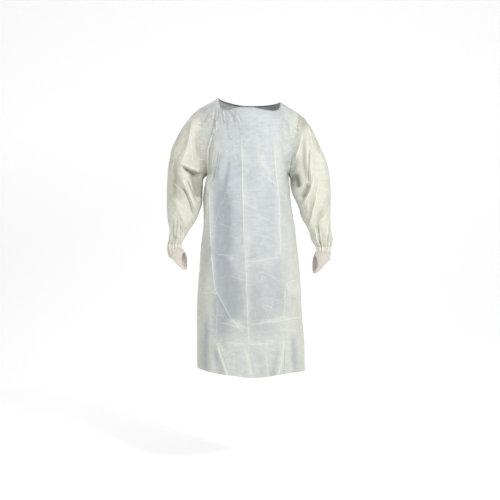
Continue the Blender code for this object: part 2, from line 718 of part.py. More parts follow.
def wrist_band(name, side, arm):
    """The elastic casing that gathers the wrist."""
    start = stations(arm)[BAND_TOP_RING] + SEAM_GAP / 2
    end = stations(arm)[BAND_FOOT_RING] - SEAM_GAP / 2
    angle = np.linspace(0.0, 2 * math.pi, 2 * GATHERS, endpoint=False)[None, :]
    station = np.linspace(start, end, BAND_ROWS + 1)[:, None] + 0.0 * angle
    angle = angle + 0.0 * station
    base, _, _ = arm_points(arm, side, station, angle)
    normals = grid_normals(base, True)
    normals[0] = within_ring(normals[0], arm, start)
    normals[-1] = within_ring(normals[-1], arm, end)
    lift = (BAND_WALL - WALL) / 2 + gathered(station, angle, start - GATHER_LENGTH, start)
    outer = base + normals * lift[..., None]
    outer[..., 0] += side * SEAM_GAP
    return wall(name, outer, outer - normals * BAND_WALL, "elastic_casing", wraps=True)


def thumb_cuff(name, side, arm):
    """The hand cover below the elastic, cut slanting, with a thumb hole."""
    columns = 2 * GATHERS
    rows = len(CUFF_ROW_SHARES)
    start = stations(arm)[BAND_FOOT_RING] + SEAM_GAP / 2
    hole_column = round(side * HOLE_ANGLE / (2 * math.pi) * columns) % columns
    hole_row = (HOLE_FIRST_ROW + HOLE_LAST_ROW) / 2
    half_rows = (HOLE_LAST_ROW - HOLE_FIRST_ROW) / 2
    row, column = np.meshgrid(np.arange(rows, dtype=float), np.arange(columns, dtype=float), indexing="ij")
    across = (column - hole_column + columns / 2) % columns - columns / 2
    across, down = across / HOLE_HALF_COLUMNS, (row - hole_row) / half_rows
    square = np.maximum(np.abs(across), np.abs(down))
    rounding = smooth_step(HOLE_ROUNDING - square) * (square > 0)
    scale = 1.0 + (square / np.maximum(np.hypot(across, down), TINY) - 1.0) * rounding
    angle = (hole_column + across * scale * HOLE_HALF_COLUMNS) / columns * 2 * math.pi
    row_place = np.clip(hole_row + down * scale * half_rows, 0, rows - 1)
    share = np.interp(row_place, np.arange(rows), CUFF_ROW_SHARES)
    slant = smooth_step((1.0 - np.cos(angle)) / 2 / CUFF_SLANT_END)
    drop = share * (CUFF_SHORT + (CUFF_LONG - CUFF_SHORT) * slant)
    station = start + drop
    base, _, _ = arm_points(arm, side, station, angle)
    normals = grid_normals(base, True)
    normals[0] = within_ring(normals[0], arm, start)
    lift = GATHER_DEPTH * np.cos(GATHERS * angle) * (1.0 - smooth_step(drop / CUFF_GATHER_LENGTH))
    outer = base + normals * lift[..., None]
    outer[..., 0] += side * SEAM_GAP
    left_out = {
        (hole_line, hole_cell % columns)
        for hole_line in range(HOLE_FIRST_ROW, HOLE_LAST_ROW)
        for hole_cell in range(hole_column - HOLE_HALF_COLUMNS, hole_column + HOLE_HALF_COLUMNS)
    }
    return wall(name, outer, outer - normals * WALL, "cuff_cloth", wraps=True, left_out=left_out)


def ribbon(name, places, facings, half_widths, half_depths):
    """A flat strap along a route, which faces a way at each place."""
    route = np.array(places)
    facings = unit(np.array(facings))
    along = unit(np.gradient(route, axis=0))
    across = unit(np.cross(facings, along)) * np.array(half_widths)[:, None]
    out = unit(np.cross(along, across)) * np.array(half_depths)[:, None]
    outer = np.stack([route + across + out, route - across + out], axis=1)
    inner = np.stack([route + across - out, route - across - out], axis=1)
    return wall(name, outer, inner, "tie_cloth")


def strap_on_back(side, outer):
    """The part of a tie that lies on a back panel, from its stitching towards the opening.

    It follows the panel's own points, within one row of its cells.
    """
    columns = slice(TIE_FIRST_COLUMN, TIE_LAST_COLUMN + 1)
    low, high = outer[TIE_ROW, columns], outer[TIE_ROW + 1, columns]
    middle = (low + high) / 2
    facings = side * unit(np.cross(np.gradient(middle, axis=0), high - low))
    return list(middle + facings * (SEAM_GAP + TIE_WALL / 2)), list(facings)


def tail(start, side, length):
    """A tie's free end, hanging beside the opening."""
    places = []
    stand_off = start[1] - torso_size("back", start[2])
    for part in np.linspace(0.0, 1.0, TAIL_STEPS + 1)[1:]:
        height = start[2] - length * part
        rest = stand_off + (TAIL_STAND_OFF - stand_off) * part
        drift = side * TAIL_DRIFT * part**TAIL_DRIFT_CURVE
        places.append(np.array([start[0] + drift, torso_size("back", height) + rest, height]))
    return places


def tie(name, side, outer, in_knot, knot_facings):
    """One tie: flat on its back panel, narrowed through the knot, then hanging free."""
    on_back, facings = strap_on_back(side, outer)
    places = on_back + in_knot + tail(in_knot[-1], -side, TIE_TAILS[name])
    facings = facings + knot_facings + [np.array([0.0, 1.0, 0.0])] * TAIL_STEPS
    shares = [1.0] * (len(on_back) - 1) + [TIE_PINCH] + [KNOT_PINCH] * len(in_knot)
    shares += [min(1.0, TAIL_PINCH + TAIL_OPENING * step) for step in range(TAIL_STEPS)]
    half_depths = [TIE_WALL / 2] * len(on_back)
    half_depths += [KNOT_HALF_DEPTH] * len(in_knot) + [TIE_WALL / 2] * TAIL_STEPS
    ribbon(name, places, facings, TIE_HALF_WIDTH * np.array(shares), half_depths)


def waist_ties(right_back, left_back):
    """Two straps across the opening, tied in a plain half knot with hanging ends."""
    edge = (left_back[TIE_ROW, -1] + left_back[TIE_ROW + 1, -1]) / 2
    knot = np.array([0.0, edge[1] + KNOT_STAND_OFF, edge[2]])

    through_loop = [knot + np.array([x, 0.0, -drop]) for x, drop in zip(KNOT_CORE["x"], KNOT_CORE["drop"])]
    facings = [np.array([0.0, 1.0, 0.0])] * len(through_loop)
    tie("waist_tie_left", 1.0, left_back, through_loop, facings)

    turns = np.linspace(LOOP_START, LOOP_END, LOOP_STEPS)
    facings = [np.array([math.cos(turn), math.sin(turn), 0.0]) for turn in turns]
    drops = np.linspace(LOOP_TOP, LOOP_FOOT, LOOP_STEPS)
    loop = [
        knot + facing * LOOP_RADIUS - np.array([0.0, 0.0, drop])
        for facing, drop in zip(facings, drops)
    ]
    tie("waist_tie_right", -1.0, right_back, loop, facings)


def clear():
    """Take away whatever the file opened with."""
    for old in list(bpy.data.objects):
        bpy.data.objects.remove(old, do_unlink=True)


def build():
    """All the gown's pieces, hung from one empty at the shoulders."""
    clear()
    front_panel()
    right_back = back_grids(-1.0, RIGHT_ARM, RIGHT_NECK_POINT)
    left_back = back_grids(1.0, LEFT_ARM, LEFT_NECK_POINT)
    back_panel("back_right", -1.0, right_back)
    back_panel("back_left", 1.0, left_back)
    for word, side, arm, creases in (
        ("right", -1.0, RIGHT_ARM, RIGHT_SLEEVE_CREASES),
        ("left", 1.0, LEFT_ARM, LEFT_SLEEVE_CREASES),
    ):
        sleeve("sleeve_" + word, side, arm, creases)
        wrist_band("wrist_band_" + word, side, arm)
        thumb_cuff("thumb_cuff_" + word, side, arm)
    waist_ties(right_back[0], left_back[0])
    shoulders = bpy.data.objects.new("gown", None)
    bpy.context.scene.collection.objects.link(shoulders)
    for piece in list(bpy.context.scene.objects):
        if piece.type == "MESH":
            piece.parent = shoulders


build()
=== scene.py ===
"""Looks of the isolation gown: thin creased nonwoven cloth on the form of its CAD solids.

Metres, +Z up. The front faces -Y and the right sleeve is on the -X side.
"""
import math

import bmesh
import bpy
import numpy as np
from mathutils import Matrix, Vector, noise


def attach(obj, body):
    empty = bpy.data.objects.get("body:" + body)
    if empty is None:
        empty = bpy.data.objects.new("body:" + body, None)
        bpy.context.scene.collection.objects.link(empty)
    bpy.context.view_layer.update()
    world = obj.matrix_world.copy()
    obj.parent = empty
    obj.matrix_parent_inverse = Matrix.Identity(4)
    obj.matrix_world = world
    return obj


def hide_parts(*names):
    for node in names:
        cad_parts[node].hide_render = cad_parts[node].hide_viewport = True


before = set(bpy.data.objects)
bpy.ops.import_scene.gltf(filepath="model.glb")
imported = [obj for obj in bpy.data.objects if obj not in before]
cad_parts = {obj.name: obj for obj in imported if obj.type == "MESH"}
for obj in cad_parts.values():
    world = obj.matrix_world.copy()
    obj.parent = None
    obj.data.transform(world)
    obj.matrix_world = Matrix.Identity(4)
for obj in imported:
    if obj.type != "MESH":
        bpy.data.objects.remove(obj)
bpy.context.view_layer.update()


def table(columns, *rows):
    """Rows of sizes under named columns, as one array for each column."""
    values = np.array(rows, float)
    return {name: values[:, index] for index, name in enumerate(columns.split())}


def millimetre_table(columns, *rows):
    """The same for rows of millimetres, as arrays of metres."""
    return table(columns, *(np.array(rows) / 1000))


# Shading turns sharp past this angle
SHARP_ANGLE = math.radians(55)

# A length or number too small to matter
TINY = 1e-9

# Cloth and seams
WALL = 0.0007
BAND_WALL = 0.0020
SEAM_GAP = 0.0003

# Cells of each piece, and points on a line before it is divided
FINE_STEPS = 181
SHOULDER_COLUMNS = 20
NECK_COLUMNS = 120
BACK_NECK_COLUMNS = 40
BODY_ROWS = 198
YOKE_ROWS = 70
SLEEVE_ROWS = 130
BAND_ROWS = 10
BAND_COLUMNS = 168
CUFF_ROWS = 32
CUFF_COLUMNS = 140

# Body of the gown, read at level sections: side seams, front and back depth, squareness of each half
UNDERARM = -0.310
HEM = -1.100
TORSO = table(
    "height  right_side  left_side  front   back   front_square  back_square",
    (-1.100, -0.2175, 0.2255, -0.168, 0.150, 2.30, 2.20),
    (-0.990, -0.2175, 0.2214, -0.158, 0.146, 2.30, 2.20),
    (-0.870, -0.2173, 0.2120, -0.150, 0.142, 2.30, 2.20),
    (-0.770, -0.2132, 0.2080, -0.146, 0.136, 2.35, 2.20),
    (-0.670, -0.2050, 0.2005, -0.141, 0.124, 2.40, 2.25),
    (-0.600, -0.2005, 0.1930, -0.137, 0.112, 2.40, 2.25),
    (-0.525, -0.1910, 0.1845, -0.135, 0.110, 2.40, 2.30),
    (-0.450, -0.1905, 0.1720, -0.133, 0.114, 2.40, 2.35),
    (-0.390, -0.1915, 0.1640, -0.131, 0.118, 2.40, 2.40),
    (-0.345, -0.1840, 0.1610, -0.129, 0.120, 2.40, 2.40),
    (-0.310, -0.1760, 0.1580, -0.127, 0.121, 2.40, 2.40),
)
HEM_LINE = table(
    "x       front    back",
    (-0.217, -1.091, -1.093),
    (-0.158, -1.099, -1.099),
    (-0.117, -1.104, -1.101),
    (-0.060, -1.109, -1.099),
    (0.000, -1.116, -1.096),
    (0.060, -1.113, -1.099),
    (0.117, -1.105, -1.103),
    (0.165, -1.101, -1.106),
    (0.225, -1.104, -1.104),
)

# Neckline, from the right neck point round the front and round the nape
RIGHT_NECK_POINT = (-0.127, 0.0, 0.0082)
LEFT_NECK_POINT = (0.123, 0.0, -0.0082)
FRONT_NECKLINE = table(
    "x       y        z",
    (-0.127, 0.000, 0.0082),
    (-0.125, -0.030, -0.0240),
    (-0.115, -0.053, -0.0440),
    (-0.094, -0.070, -0.0520),
    (-0.044, -0.088, -0.0448),
    (0.008, -0.092, -0.0450),
    (0.060, -0.086, -0.0542),
    (0.095, -0.068, -0.0558),
    (0.114, -0.045, -0.0460),
    (0.123, 0.000, -0.0082),
)
NAPE_DEPTH = 0.078
NAPE_HEIGHT = -0.012
SEAMED_NAPE_ROWS = 25

# How far across the yoke the armholes pull it, and how softly
ARMHOLE_REACH = 0.2
ARMHOLE_EASE = 1.6

# Where up the armhole its edge turns from facing sideways to facing out of the ring
SIDE_TO_RING_START = 0.08
SIDE_TO_RING_RISE = 0.35

# Back opening: seamed at the nape, then parting down to the hem
BACK_OPENING = table(
    "height  half_gap",
    (-1.110, 0.0340),
    (-0.900, 0.0230),
    (-0.700, 0.0110),
    (-0.560, 0.0045),
    (-0.400, 0.0060),
    (-0.250, 0.0040),
    (-0.105, SEAM_GAP / 2),
    (0.000, SEAM_GAP / 2),
)

# Sleeves in millimetres, ring by ring from the armhole: outer and inner line, forward lean, half
# depth. The last five rings are the hand cover below the elastic.
ARM_COLUMNS = "outer_x  outer_z  inner_x  inner_z  centre_y  half_depth"
RIGHT_ARM = millimetre_table(
    ARM_COLUMNS,
    (-205, -33, -176, -310, 0, 65),
    (-227, -50, -188, -322, -4, 66),
    (-257, -88, -191, -337, -12, 67),
    (-289, -142, -192, -353, -20, 67),
    (-317, -200, -192, -369, -26, 66),
    (-330, -261, -192, -387, -29, 64),
    (-335, -326, -191, -408, -30, 62),
    (-337, -391, -194, -430, -30, 60),
    (-337, -440, -204, -458, -31, 57),
    (-335, -489, -219, -495, -33, 52),
    (-329, -530, -247, -534, -36, 44),
    (-330, -560, -262, -560, -38, 36),
    (-332, -591, -276, -591, -40, 28),
    (-333, -607, -276, -608, -41, 26),
    (-334, -621, -264, -623, -42, 26),
    (-331, -639, -256, -643, -43, 27),
    (-326, -664, -254, -668, -44, 26),
    (-320, -700, -257, -700, -45, 24),
)
LEFT_ARM = millimetre_table(
    ARM_COLUMNS,
    (200, -56, 158, -310, 0, 65),
    (217, -66, 165, -322, -4, 66),
    (245, -104, 166, -337, -12, 67),
    (271, -158, 166, -354, -20, 67),
    (291, -204, 168, -371, -26, 66),
    (313, -261, 173, -389, -29, 64),
    (325, -322, 187, -416, -30, 62),
    (329, -379, 199, -446, -30, 60),
    (329, -428, 207, -477, -31, 57),
    (326, -481, 227, -513, -33, 52),
    (327, -530, 242, -544, -36, 44),
    (337, -568, 249, -574, -38, 36),
    (330, -602, 268, -604, -40, 28),
    (326, -619, 269, -620, -41, 26),
    (328, -631, 259, -635, -42, 26),
    (326, -651, 253, -654, -43, 27),
    (324, -676, 251, -680, -44, 26),
    (318, -710, 254, -712, -45, 24),
)
BAND_TOP_RING = 12
BAND_FOOT_RING = 13

# How far a sleeve stays from the body, from where on, and the part of its depth over which the
# creases of its front and back fade out
SLEEVE_CLEARANCE = 0.0016
SLEEVE_CLEAR_START = 0.012
FACE_FADE = 0.35

# Wrist gathers
GATHERS = table(
    "waves  phase  share",
    (14, 0.0, 0.45),
    (23, 1.3, 0.40),
    (37, 0.4, 0.30),
)
GATHER_DEPTH = 0.0026
GATHER_UNEVEN = 0.6
GATHER_LOBES = 5
GATHER_LENGTH = 0.060
CUFF_GATHER_LENGTH = 0.022

# Hand cover: how far it reaches below the band, how its rows are spread, and its thumb hole, with
# the angle from the outer side
CUFF_SHORT = 0.040
CUFF_LONG = 0.090
CUFF_SLANT_END = 0.80
CUFF_SHARES = (0.0, 0.09, 0.20, 0.36, 0.52, 0.68, 0.80, 0.89, 1.0)
HOLE_ANGLE = math.radians(154)
HOLE_HALF_COLUMNS = 15
HOLE_FIRST_ROW = 8
HOLE_LAST_ROW = 28
HOLE_ROUNDING = 2.0

# Waist ties, on the back: the row of cells and the columns of the panel that they lie on
TIE_ROW = 126
TIE_ROWS = 9
TIE_FIRST_COLUMN = 20
TIE_LAST_COLUMN = 55
TIE_STAND_OFF = 0.0012
TIE_WALL = 0.0012
TIE_HALF_WIDTH = 0.011
TIE_TAILS = {"waist_tie_right": 0.175, "waist_tie_left": 0.150}
TAIL_STEPS = 18
TAIL_DRIFT = 0.030
TAIL_DRIFT_CURVE = 1.5
TAIL_STAND_OFF = 0.006

# Half knot: the left tie runs down through the loop of the right one
KNOT_STAND_OFF = 0.0135
KNOT_HALF_DEPTH = 0.0012
KNOT_CORE = table(
    "x       drop",
    (0.0045, -0.0055),
    (0.0008, -0.0020),
    (0.0000, 0.0035),
    (0.0000, 0.0100),
    (0.0000, 0.0205),
)
LOOP_RADIUS = 0.0078
LOOP_START = math.pi
LOOP_END = -1.5 * math.pi
LOOP_TOP = 0.0020
LOOP_FOOT = 0.0165
LOOP_STEPS = 40

# Width of a tie, as a share of the full one: entering the knot, in it, and opening below it
TIE_PINCH = 0.60
KNOT_PINCH = 0.33
TAIL_PINCH = 0.70
TAIL_OPENING = 0.05

# Creases in millimetres, read in elevation: from head to foot, sideways bow, half width, and height
# out (+) or in (-)
CREASE_COLUMNS = "x_head  z_head  x_foot  z_foot  bow  half_width  height"
CREASE_END = 0.25
CREASE_SEAM_REACH = 0.035
FRONT_CREASES = millimetre_table(
    CREASE_COLUMNS,
    (-106, -260, -110, -1040, -6, 34, -9),
    (-122, -212, -150, -348, 2, 9, -4.4),
    (-86, -250, -106, -375, 2, 9, -4),
    (-80, -690, -80, -930, 4, 45, -2.2),
    (-145, -150, -168, -300, 10, 16, 4),
    (-168, -260, -156, -640, -4, 15, 4.5),
    (-157, -600, -134, -830, -2, 13, 3.2),
    (98, -160, 116, -420, 4, 16, 4),
    (114, -380, 120, -660, 0, 16, 4),
    (-36, -120, -8, -1060, 3, 13, 2.5),
    (-90, -56, -34, -190, 12, 10, -2),
    (-118, -60, -90, -200, 10, 10, -1.6),
    (30, -225, 100, -330, -10, 18, 3.5),
    (-130, -636, -60, -650, 3, 13, 3),
    (-30, -664, 122, -644, -6, 12, 2.6),
    (-120, -890, -20, -925, 8, 14, 4.5),
    (-5, -912, 195, -886, 6, 13, 3.4),
    (-115, -990, 90, -985, 4, 13, 3),
    (-138, -765, -66, -900, -6, 10, 1.8),
    (140, -760, 196, -735, -30, 18, 4),
    (-138, -965, -78, -1150, 4, 12, 5),
    (-150, -985, -112, -1150, 4, 14, -4.5),
    (140, -950, 104, -1150, -4, 13, 4.6),
    (122, -980, 86, -1150, -4, 13, -4.6),
    (-30, -990, 12, -1160, 6, 16, 3),
    (30, -1010, 46, -1160, 4, 16, -2.4),
    (175, -930, 182, -1150, 0, 14, -5),
    (-178, -860, -184, -1150, 0, 15, -5),
)
BACK_CREASES = millimetre_table(
    CREASE_COLUMNS,
    (-100, -60, -70, -420, 10, 18, -5),
    (100, -80, 74, -440, -10, 18, -5),
    (-150, -240, -105, -545, -12, 16, 4.5),
    (142, -240, 105, -545, 12, 16, 4.5),
    (-118, -590, -165, -1020, 12, 20, 7),
    (118, -590, 168, -1020, -12, 20, 7),
    (-75, -600, -95, -1160, 6, 22, -8),
    (75, -600, 100, -1160, -6, 22, -8),
    (-175, -640, -186, -1150, 4, 18, -6),
    (175, -650, 186, -1150, -4, 18, -6),
    (-130, -860, -128, -1160, 0, 14, 6),
    (135, -880, 138, -1160, 0, 14, 6),
)
RIGHT_SLEEVE_CREASES = millimetre_table(
    CREASE_COLUMNS,
    (-225, -75, -276, -275, 10, 14, 5.5),
    (-292, -252, -190, -300, -6, 10, 8.5),
    (-272, -280, -186, -316, -5, 9, -10),
    (-232, -292, -200, -412, 4, 18, -13),
    (-282, -306, -214, -468, 4, 10, 7.5),
    (-272, -350, -218, -486, 6, 9, -6),
    (-308, -400, -262, -530, 6, 12, 5),
    (-300, -462, -262, -560, 6, 10, -5),
    (-315, -520, -275, -590, 3, 10, 3.5),
    (-205, -100, -200, -260, -6, 12, -2.2),
    (-312, -210, -318, -420, 8, 14, -4),
)
LEFT_SLEEVE_CREASES = millimetre_table(
    CREASE_COLUMNS,
    (228, -95, 246, -360, -12, 13, 7),
    (218, -120, 232, -360, -12, 13, -6),
    (252, -292, 203, -450, 14, 10, 7),
    (232, -345, 202, -415, 3, 10, -8.5),
    (205, -120, 184, -260, 6, 13, 6),
    (172, -302, 190, -372, 3, 14, -11),
    (278, -390, 244, -540, -6, 13, 6),
    (300, -440, 268, -560, -6, 14, -5),
    (312, -470, 268, -525, 0, 12, 4),
    (295, -560, 325, -530, -4, 11, 4),
)
BACK_SLEEVE_CREASES = millimetre_table(
    CREASE_COLUMNS,
    (226, -110, 238, -380, -10, 16, 6),
    (262, -180, 205, -400, -10, 15, -6),
    (300, -260, 230, -440, -8, 15, 5.5),
    (312, -360, 250, -500, -6, 14, -5.5),
    (315, -460, 262, -550, -4, 12, 4.5),
)

# Narrow creases left by packing, and sharper folds, on top of the broad ones and read like them
FRONT_LINES = millimetre_table(
    CREASE_COLUMNS,
    (-36, -125, -24, -640, 1, 5, 2.4),
    (-24, -560, -4, -1060, 3, 5, 1.3),
    (-132, -120, -170, -225, -6, 6, 5),
    (-136, -85, -134, -150, 2, 5, 3.4),
    (-152, -100, -140, -160, 2, 5, 3),
    (-170, -185, -164, -400, -4, 5.5, 4.8),
    (-160, -170, -156, -330, -4, 7, -4),
    (-161, -350, -154, -650, 0, 5.5, 2.6),
    (-157, -600, -134, -800, -2, 5.5, 2.6),
    (-134, -795, -136, -975, 1, 5.5, 1.4),
    (94, -200, 118, -420, -3, 5.5, 2.6),
    (116, -370, 119, -650, 0, 5, 2.4),
    (-140, -632, -80, -638, 1, 4.5, 1.8),
    (-40, -660, 120, -640, -6, 5, 1.8),
    (130, -893, 205, -884, 2, 5.5, 5.8),
    (-10, -912, 140, -893, 4, 5, 1.7),
    (-125, -900, -30, -926, 3, 5, 3),
    (-110, -980, -18, -984, 2, 4.5, 2.2),
    (-14, -984, 78, -982, -2, 4.5, 2.2),
    (-142, -762, -66, -900, -3, 5.5, 2.4),
    (-78, -882, -36, -926, 1, 5, 2.4),
    (-182, -755, -128, -802, 2, 5, 2.2),
    (138, -765, 192, -738, 12, 6, 1.8),
    (140, -750, 134, -900, 2, 5.5, 1.8),
    (26, -305, 106, -360, 3, 6, 2.6),
    (-120, -205, -152, -360, 4, 6, 2.8),
    (-138, -215, -148, -350, -4, 5.5, -2.4),
    (-104, -58, -94, -132, 4, 3.5, -1.8),
    (-96, -56, -74, -112, 5, 3.5, 1.8),
    (-92, -56, -60, -122, 8, 3.5, -2.2),
    (-84, -54, -48, -104, 8, 3.5, 1.8),
    (-76, -54, -36, -112, 10, 3.5, -2.2),
    (-62, -62, -36, -125, 3, 3.5, 2.2),
    (-118, -60, -108, -116, 3, 3.5, -1.6),
    (-110, -52, -104, -105, 2, 3.5, 2),
    (-128, -40, -136, -110, 2, 4, -2.4),
    (-146, -46, -160, -110, 2, 4, 2.2),
    (-156, -70, -160, -160, 10, 6, -2.4),
    (-164, -52, -196, -105, 2, 6, -2.8),
    (-140, -125, -166, -165, 1, 5, 2.4),
    (132, -70, 150, -150, 4, 9, -2.6),
    (150, -80, 158, -160, 3, 9, -2.2),
    (-137, -975, -80, -1140, 2, 6, 3.2),
    (-126, -980, -68, -1140, 2, 6, -3),
    (136, -975, 104, -1150, -2, 6, 3),
    (138, -975, 134, -1150, 0, 6, -2.6),
    (-26, -985, 6, -1120, 2, 5.5, 1.7),
    (-10, -995, 24, -1130, 2, 5.5, -1.5),
    (60, -995, 72, -1140, 2, 6, 1.5),
    (-60, -1000, -52, -1140, 2, 6, -1.3),
    (-80, -420, 20, -452, 6, 7, 0.9),
    (10, -480, 110, -520, 8, 7, 0.9),
    (-130, -505, -30, -535, -6, 7, 0.9),
    (20, -700, 120, -745, 10, 7, 1),
    (-100, -705, 10, -735, -8, 7, 1),
    (40, -800, 150, -840, 10, 7, 1),
    (-70, -180, -60, -300, 6, 6, 0.8),
    (40, -160, 34, -260, -5, 6, 0.7),
    (-110, -385, -60, -400, 4, 6, 0.7),
    (30, -392, 90, -405, -4, 6, 0.7),
    (-100, -560, -40, -575, 5, 6, 0.8),
    (20, -560, 90, -572, 5, 6, 0.8),
    (150, -420, 140, -560, 4, 6, -0.8),
    (-60, -650, -20, -780, -6, 6, 0.8),
    (60, -660, 30, -760, 6, 6, 0.7),
    (100, -760, 60, -900, 6, 6, 0.9),
    (-190, -840, -140, -885, 4, 6, 1),
    (-195, -920, -130, -945, 4, 6, 0.9),
    (150, -930, 205, -950, 4, 6, 0.9),
    (20, -930, 60, -975, 3, 6, 0.9),
    (-170, -400, -176, -560, 2, 6, 1.8),
    (160, -240, 152, -380, 3, 6, 1.8),
)
BACK_LINES = millimetre_table(
    CREASE_COLUMNS,
    (-100, -110, -104, -520, 2, 5.5, 2.6),
    (104, -110, 100, -520, 2, 5.5, 2.6),
    (-96, -620, -110, -1080, 3, 5.5, 2.6),
    (98, -620, 116, -1080, 3, 5.5, 2.6),
    (-190, -330, -20, -345, 4, 5, 2.2),
    (30, -342, 165, -330, 4, 5, 2.2),
    (-195, -870, -30, -885, 4, 5, 2.8),
    (40, -890, 200, -872, 4, 5, 2.8),
    (-110, -480, -30, -548, 4, 7, 2.6),
    (112, -485, 34, -550, -4, 7, 2.6),
    (-150, -610, -60, -640, 4, 7, -2.6),
    (150, -615, 60, -644, -4, 7, -2.6),
    (-150, -960, -146, -1160, 2, 7, 4),
    (156, -960, 160, -1160, 2, 7, 4),
    (-60, -990, -66, -1160, 2, 7, -4),
    (66, -980, 70, -1160, 2, 7, -4),
)
RIGHT_SLEEVE_LINES = millimetre_table(
    CREASE_COLUMNS,
    (-232, -85, -278, -285, 8, 7, 3.4),
    (-290, -258, -192, -306, -4, 6.5, 5.5),
    (-280, -274, -192, -318, -4, 6.5, -7),
    (-282, -312, -216, -462, 3, 6, 5),
    (-254, -328, -210, -428, 2, 7, -6),
    (-274, -352, -222, -482, 4, 6, -5),
    (-300, -303, -250, -326, 2, 6.5, 3),
    (-318, -340, -262, -400, 4, 7, 3),
    (-322, -400, -250, -470, 5, 7, 3),
    (-308, -450, -260, -550, 3, 6, 3.4),
    (-316, -535, -272, -592, 2, 5, 2.6),
    (-246, -440, -226, -510, 3, 6, 2.6),
    (-216, -120, -204, -250, -3, 7, -1.4),
    (-236, -160, -224, -270, -4, 7, 2.6),
    (-300, -180, -320, -300, 4, 7, 2.4),
    (-258, -205, -296, -268, 3, 6, 2.2),
    (-292, -480, -300, -590, 2, 5.5, -3),
    (-326, -500, -318, -590, 3, 5, 3.4),
    (-312, -490, -308, -590, 3, 5, -3),
    (-284, -500, -290, -588, 3, 5, 3.4),
    (-272, -500, -282, -588, -3, 5, -3),
    (-258, -530, -276, -590, -2, 5, 3),
)
LEFT_SLEEVE_LINES = millimetre_table(
    CREASE_COLUMNS,
    (230, -100, 250, -230, 6, 7, 3.6),
    (250, -190, 244, -360, -2, 6.5, 4),
    (240, -200, 232, -350, -2, 6.5, -4.4),
    (253, -292, 204, -448, 15, 6, 4.4),
    (240, -350, 208, -414, 3, 6, -7),
    (214, -135, 182, -265, 3, 7, 3.6),
    (172, -308, 192, -372, 2, 8, -6),
    (281, -320, 262, -430, -3, 6.5, 3.4),
    (266, -400, 242, -535, -3, 6, 3.6),
    (312, -465, 268, -508, 2, 6, 3.2),
    (304, -380, 282, -470, -3, 6.5, 2.8),
    (300, -520, 322, -585, 3, 5, 2.8),
    (286, -540, 280, -600, 0, 4.5, -2.2),
    (272, -200, 300, -330, 4, 7, 2.6),
    (258, -130, 284, -250, 3, 7, -2.4),
    (232, -420, 226, -500, 2, 6, 2.8),
    (256, -520, 272, -602, 3, 5, 3.4),
    (264, -510, 282, -602, 3, 5, -3.4),
    (276, -490, 292, -600, -3, 5, 3),
    (316, -490, 306, -600, -4, 5, 3.4),
    (324, -500, 314, -600, -4, 5, -3),
    (334, -545, 318, -606, -2, 5, 3),
)
BACK_SLEEVE_LINES = millimetre_table(
    CREASE_COLUMNS,
    (222, -110, 236, -340, -6, 7, 3.4),
    (240, -260, 196, -380, -4, 6.5, 4.4),
    (282, -290, 212, -420, -4, 6.5, -4),
    (300, -360, 232, -470, -3, 6.5, 4),
    (314, -420, 250, -520, -3, 6, -3.4),
    (318, -490, 266, -560, -2, 5.5, 3.4),
    (272, -150, 306, -320, 4, 7, 2.6),
)

# Narrow creases: share of their height in the form, reach of their mark, height that takes the full
# painted highlight on ridges and painted shade in troughs, half width of the painted and bumped line,
# depth of its bump, and how it wobbles
LINE_GAIN = 0.55
LINE_REACH = 0.010
LINE_FULL_HEIGHT = 0.0042
LINE_HALF_WIDTH = 0.0017
LINE_DEPTH = 0.0016
WOBBLE = 0.0016
WOBBLE_PER_METRE = 16.0

# Broad folds are deeper on the front of the sleeves, and all folds set painted highlight on their
# crests and painted shade in their hollows
SLEEVE_GAIN = 1.35
FOLD_FULL_HEIGHT = 0.0060
SLEEVE_FOLD_SHADING = 0.5
GATHER_SHADING = 2.6

# How cool the cloth looks at chest and skirt, and where it fades down the front and to the sides
COOL_CHEST = 0.85
COOL_SKIRT = 0.58
COOL_TOP = -0.450
COOL_FADE = 0.400
COOL_HALF_WIDTH = 0.070
COOL_SIDE_FADE = 0.200
COOL_SIDE_LOSS = 0.85

# Soft shade over the middle of the skirt, as the depth of a fold, and where it ends
SKIRT_SHADE = 0.0034
SKIRT_BOTTOM = -0.860
SKIRT_FADE = 0.130
SKIRT_HALF_WIDTH = 0.090
SKIRT_SIDE_FADE = 0.080

# Crumple of the thin cloth: ridges per metre, height, and how much longer they run up and down
CRUMPLE = table(
    "per_metre  height  stretch",
    (8.0, 0.0050, 1.6),
    (19.0, 0.0028, 1.4),
    (43.0, 0.0012, 1.2),
)
CRUMPLE_EDGE = 0.03
CRUMPLE_MEAN = 0.22
CRUMPLE_SHIFT = 17.3

# Where in the noise each kind of piece lies, and how much of the sleeves' crumple the others have
CRUMPLE_SEEDS = {"front": 3.7, "back": 11.2, "sleeve": 23.9}
CRUMPLE_SHARES = {"front": 0.75, "back": 0.9, "cuff": 0.35}

# How close to a seam the crumple starts, and how much stronger it is beside an armhole
FINE_SEAM_REACH = 0.014
PUCKER_REACH = 0.055
PUCKER_GAIN = 0.9

# Short creases across each armhole seam: how many, how uneven, and their sizes
PUCKERS = 15
PUCKER_TURN = 2.4
PUCKER_SHIFT = 0.5
PUCKER_LENGTH = 0.017
PUCKER_SPREAD = 0.45
PUCKER_DROP = 0.006
PUCKER_BOW = 0.003
PUCKER_HALF_WIDTH = 0.0035
PUCKER_HEIGHT = 0.0018

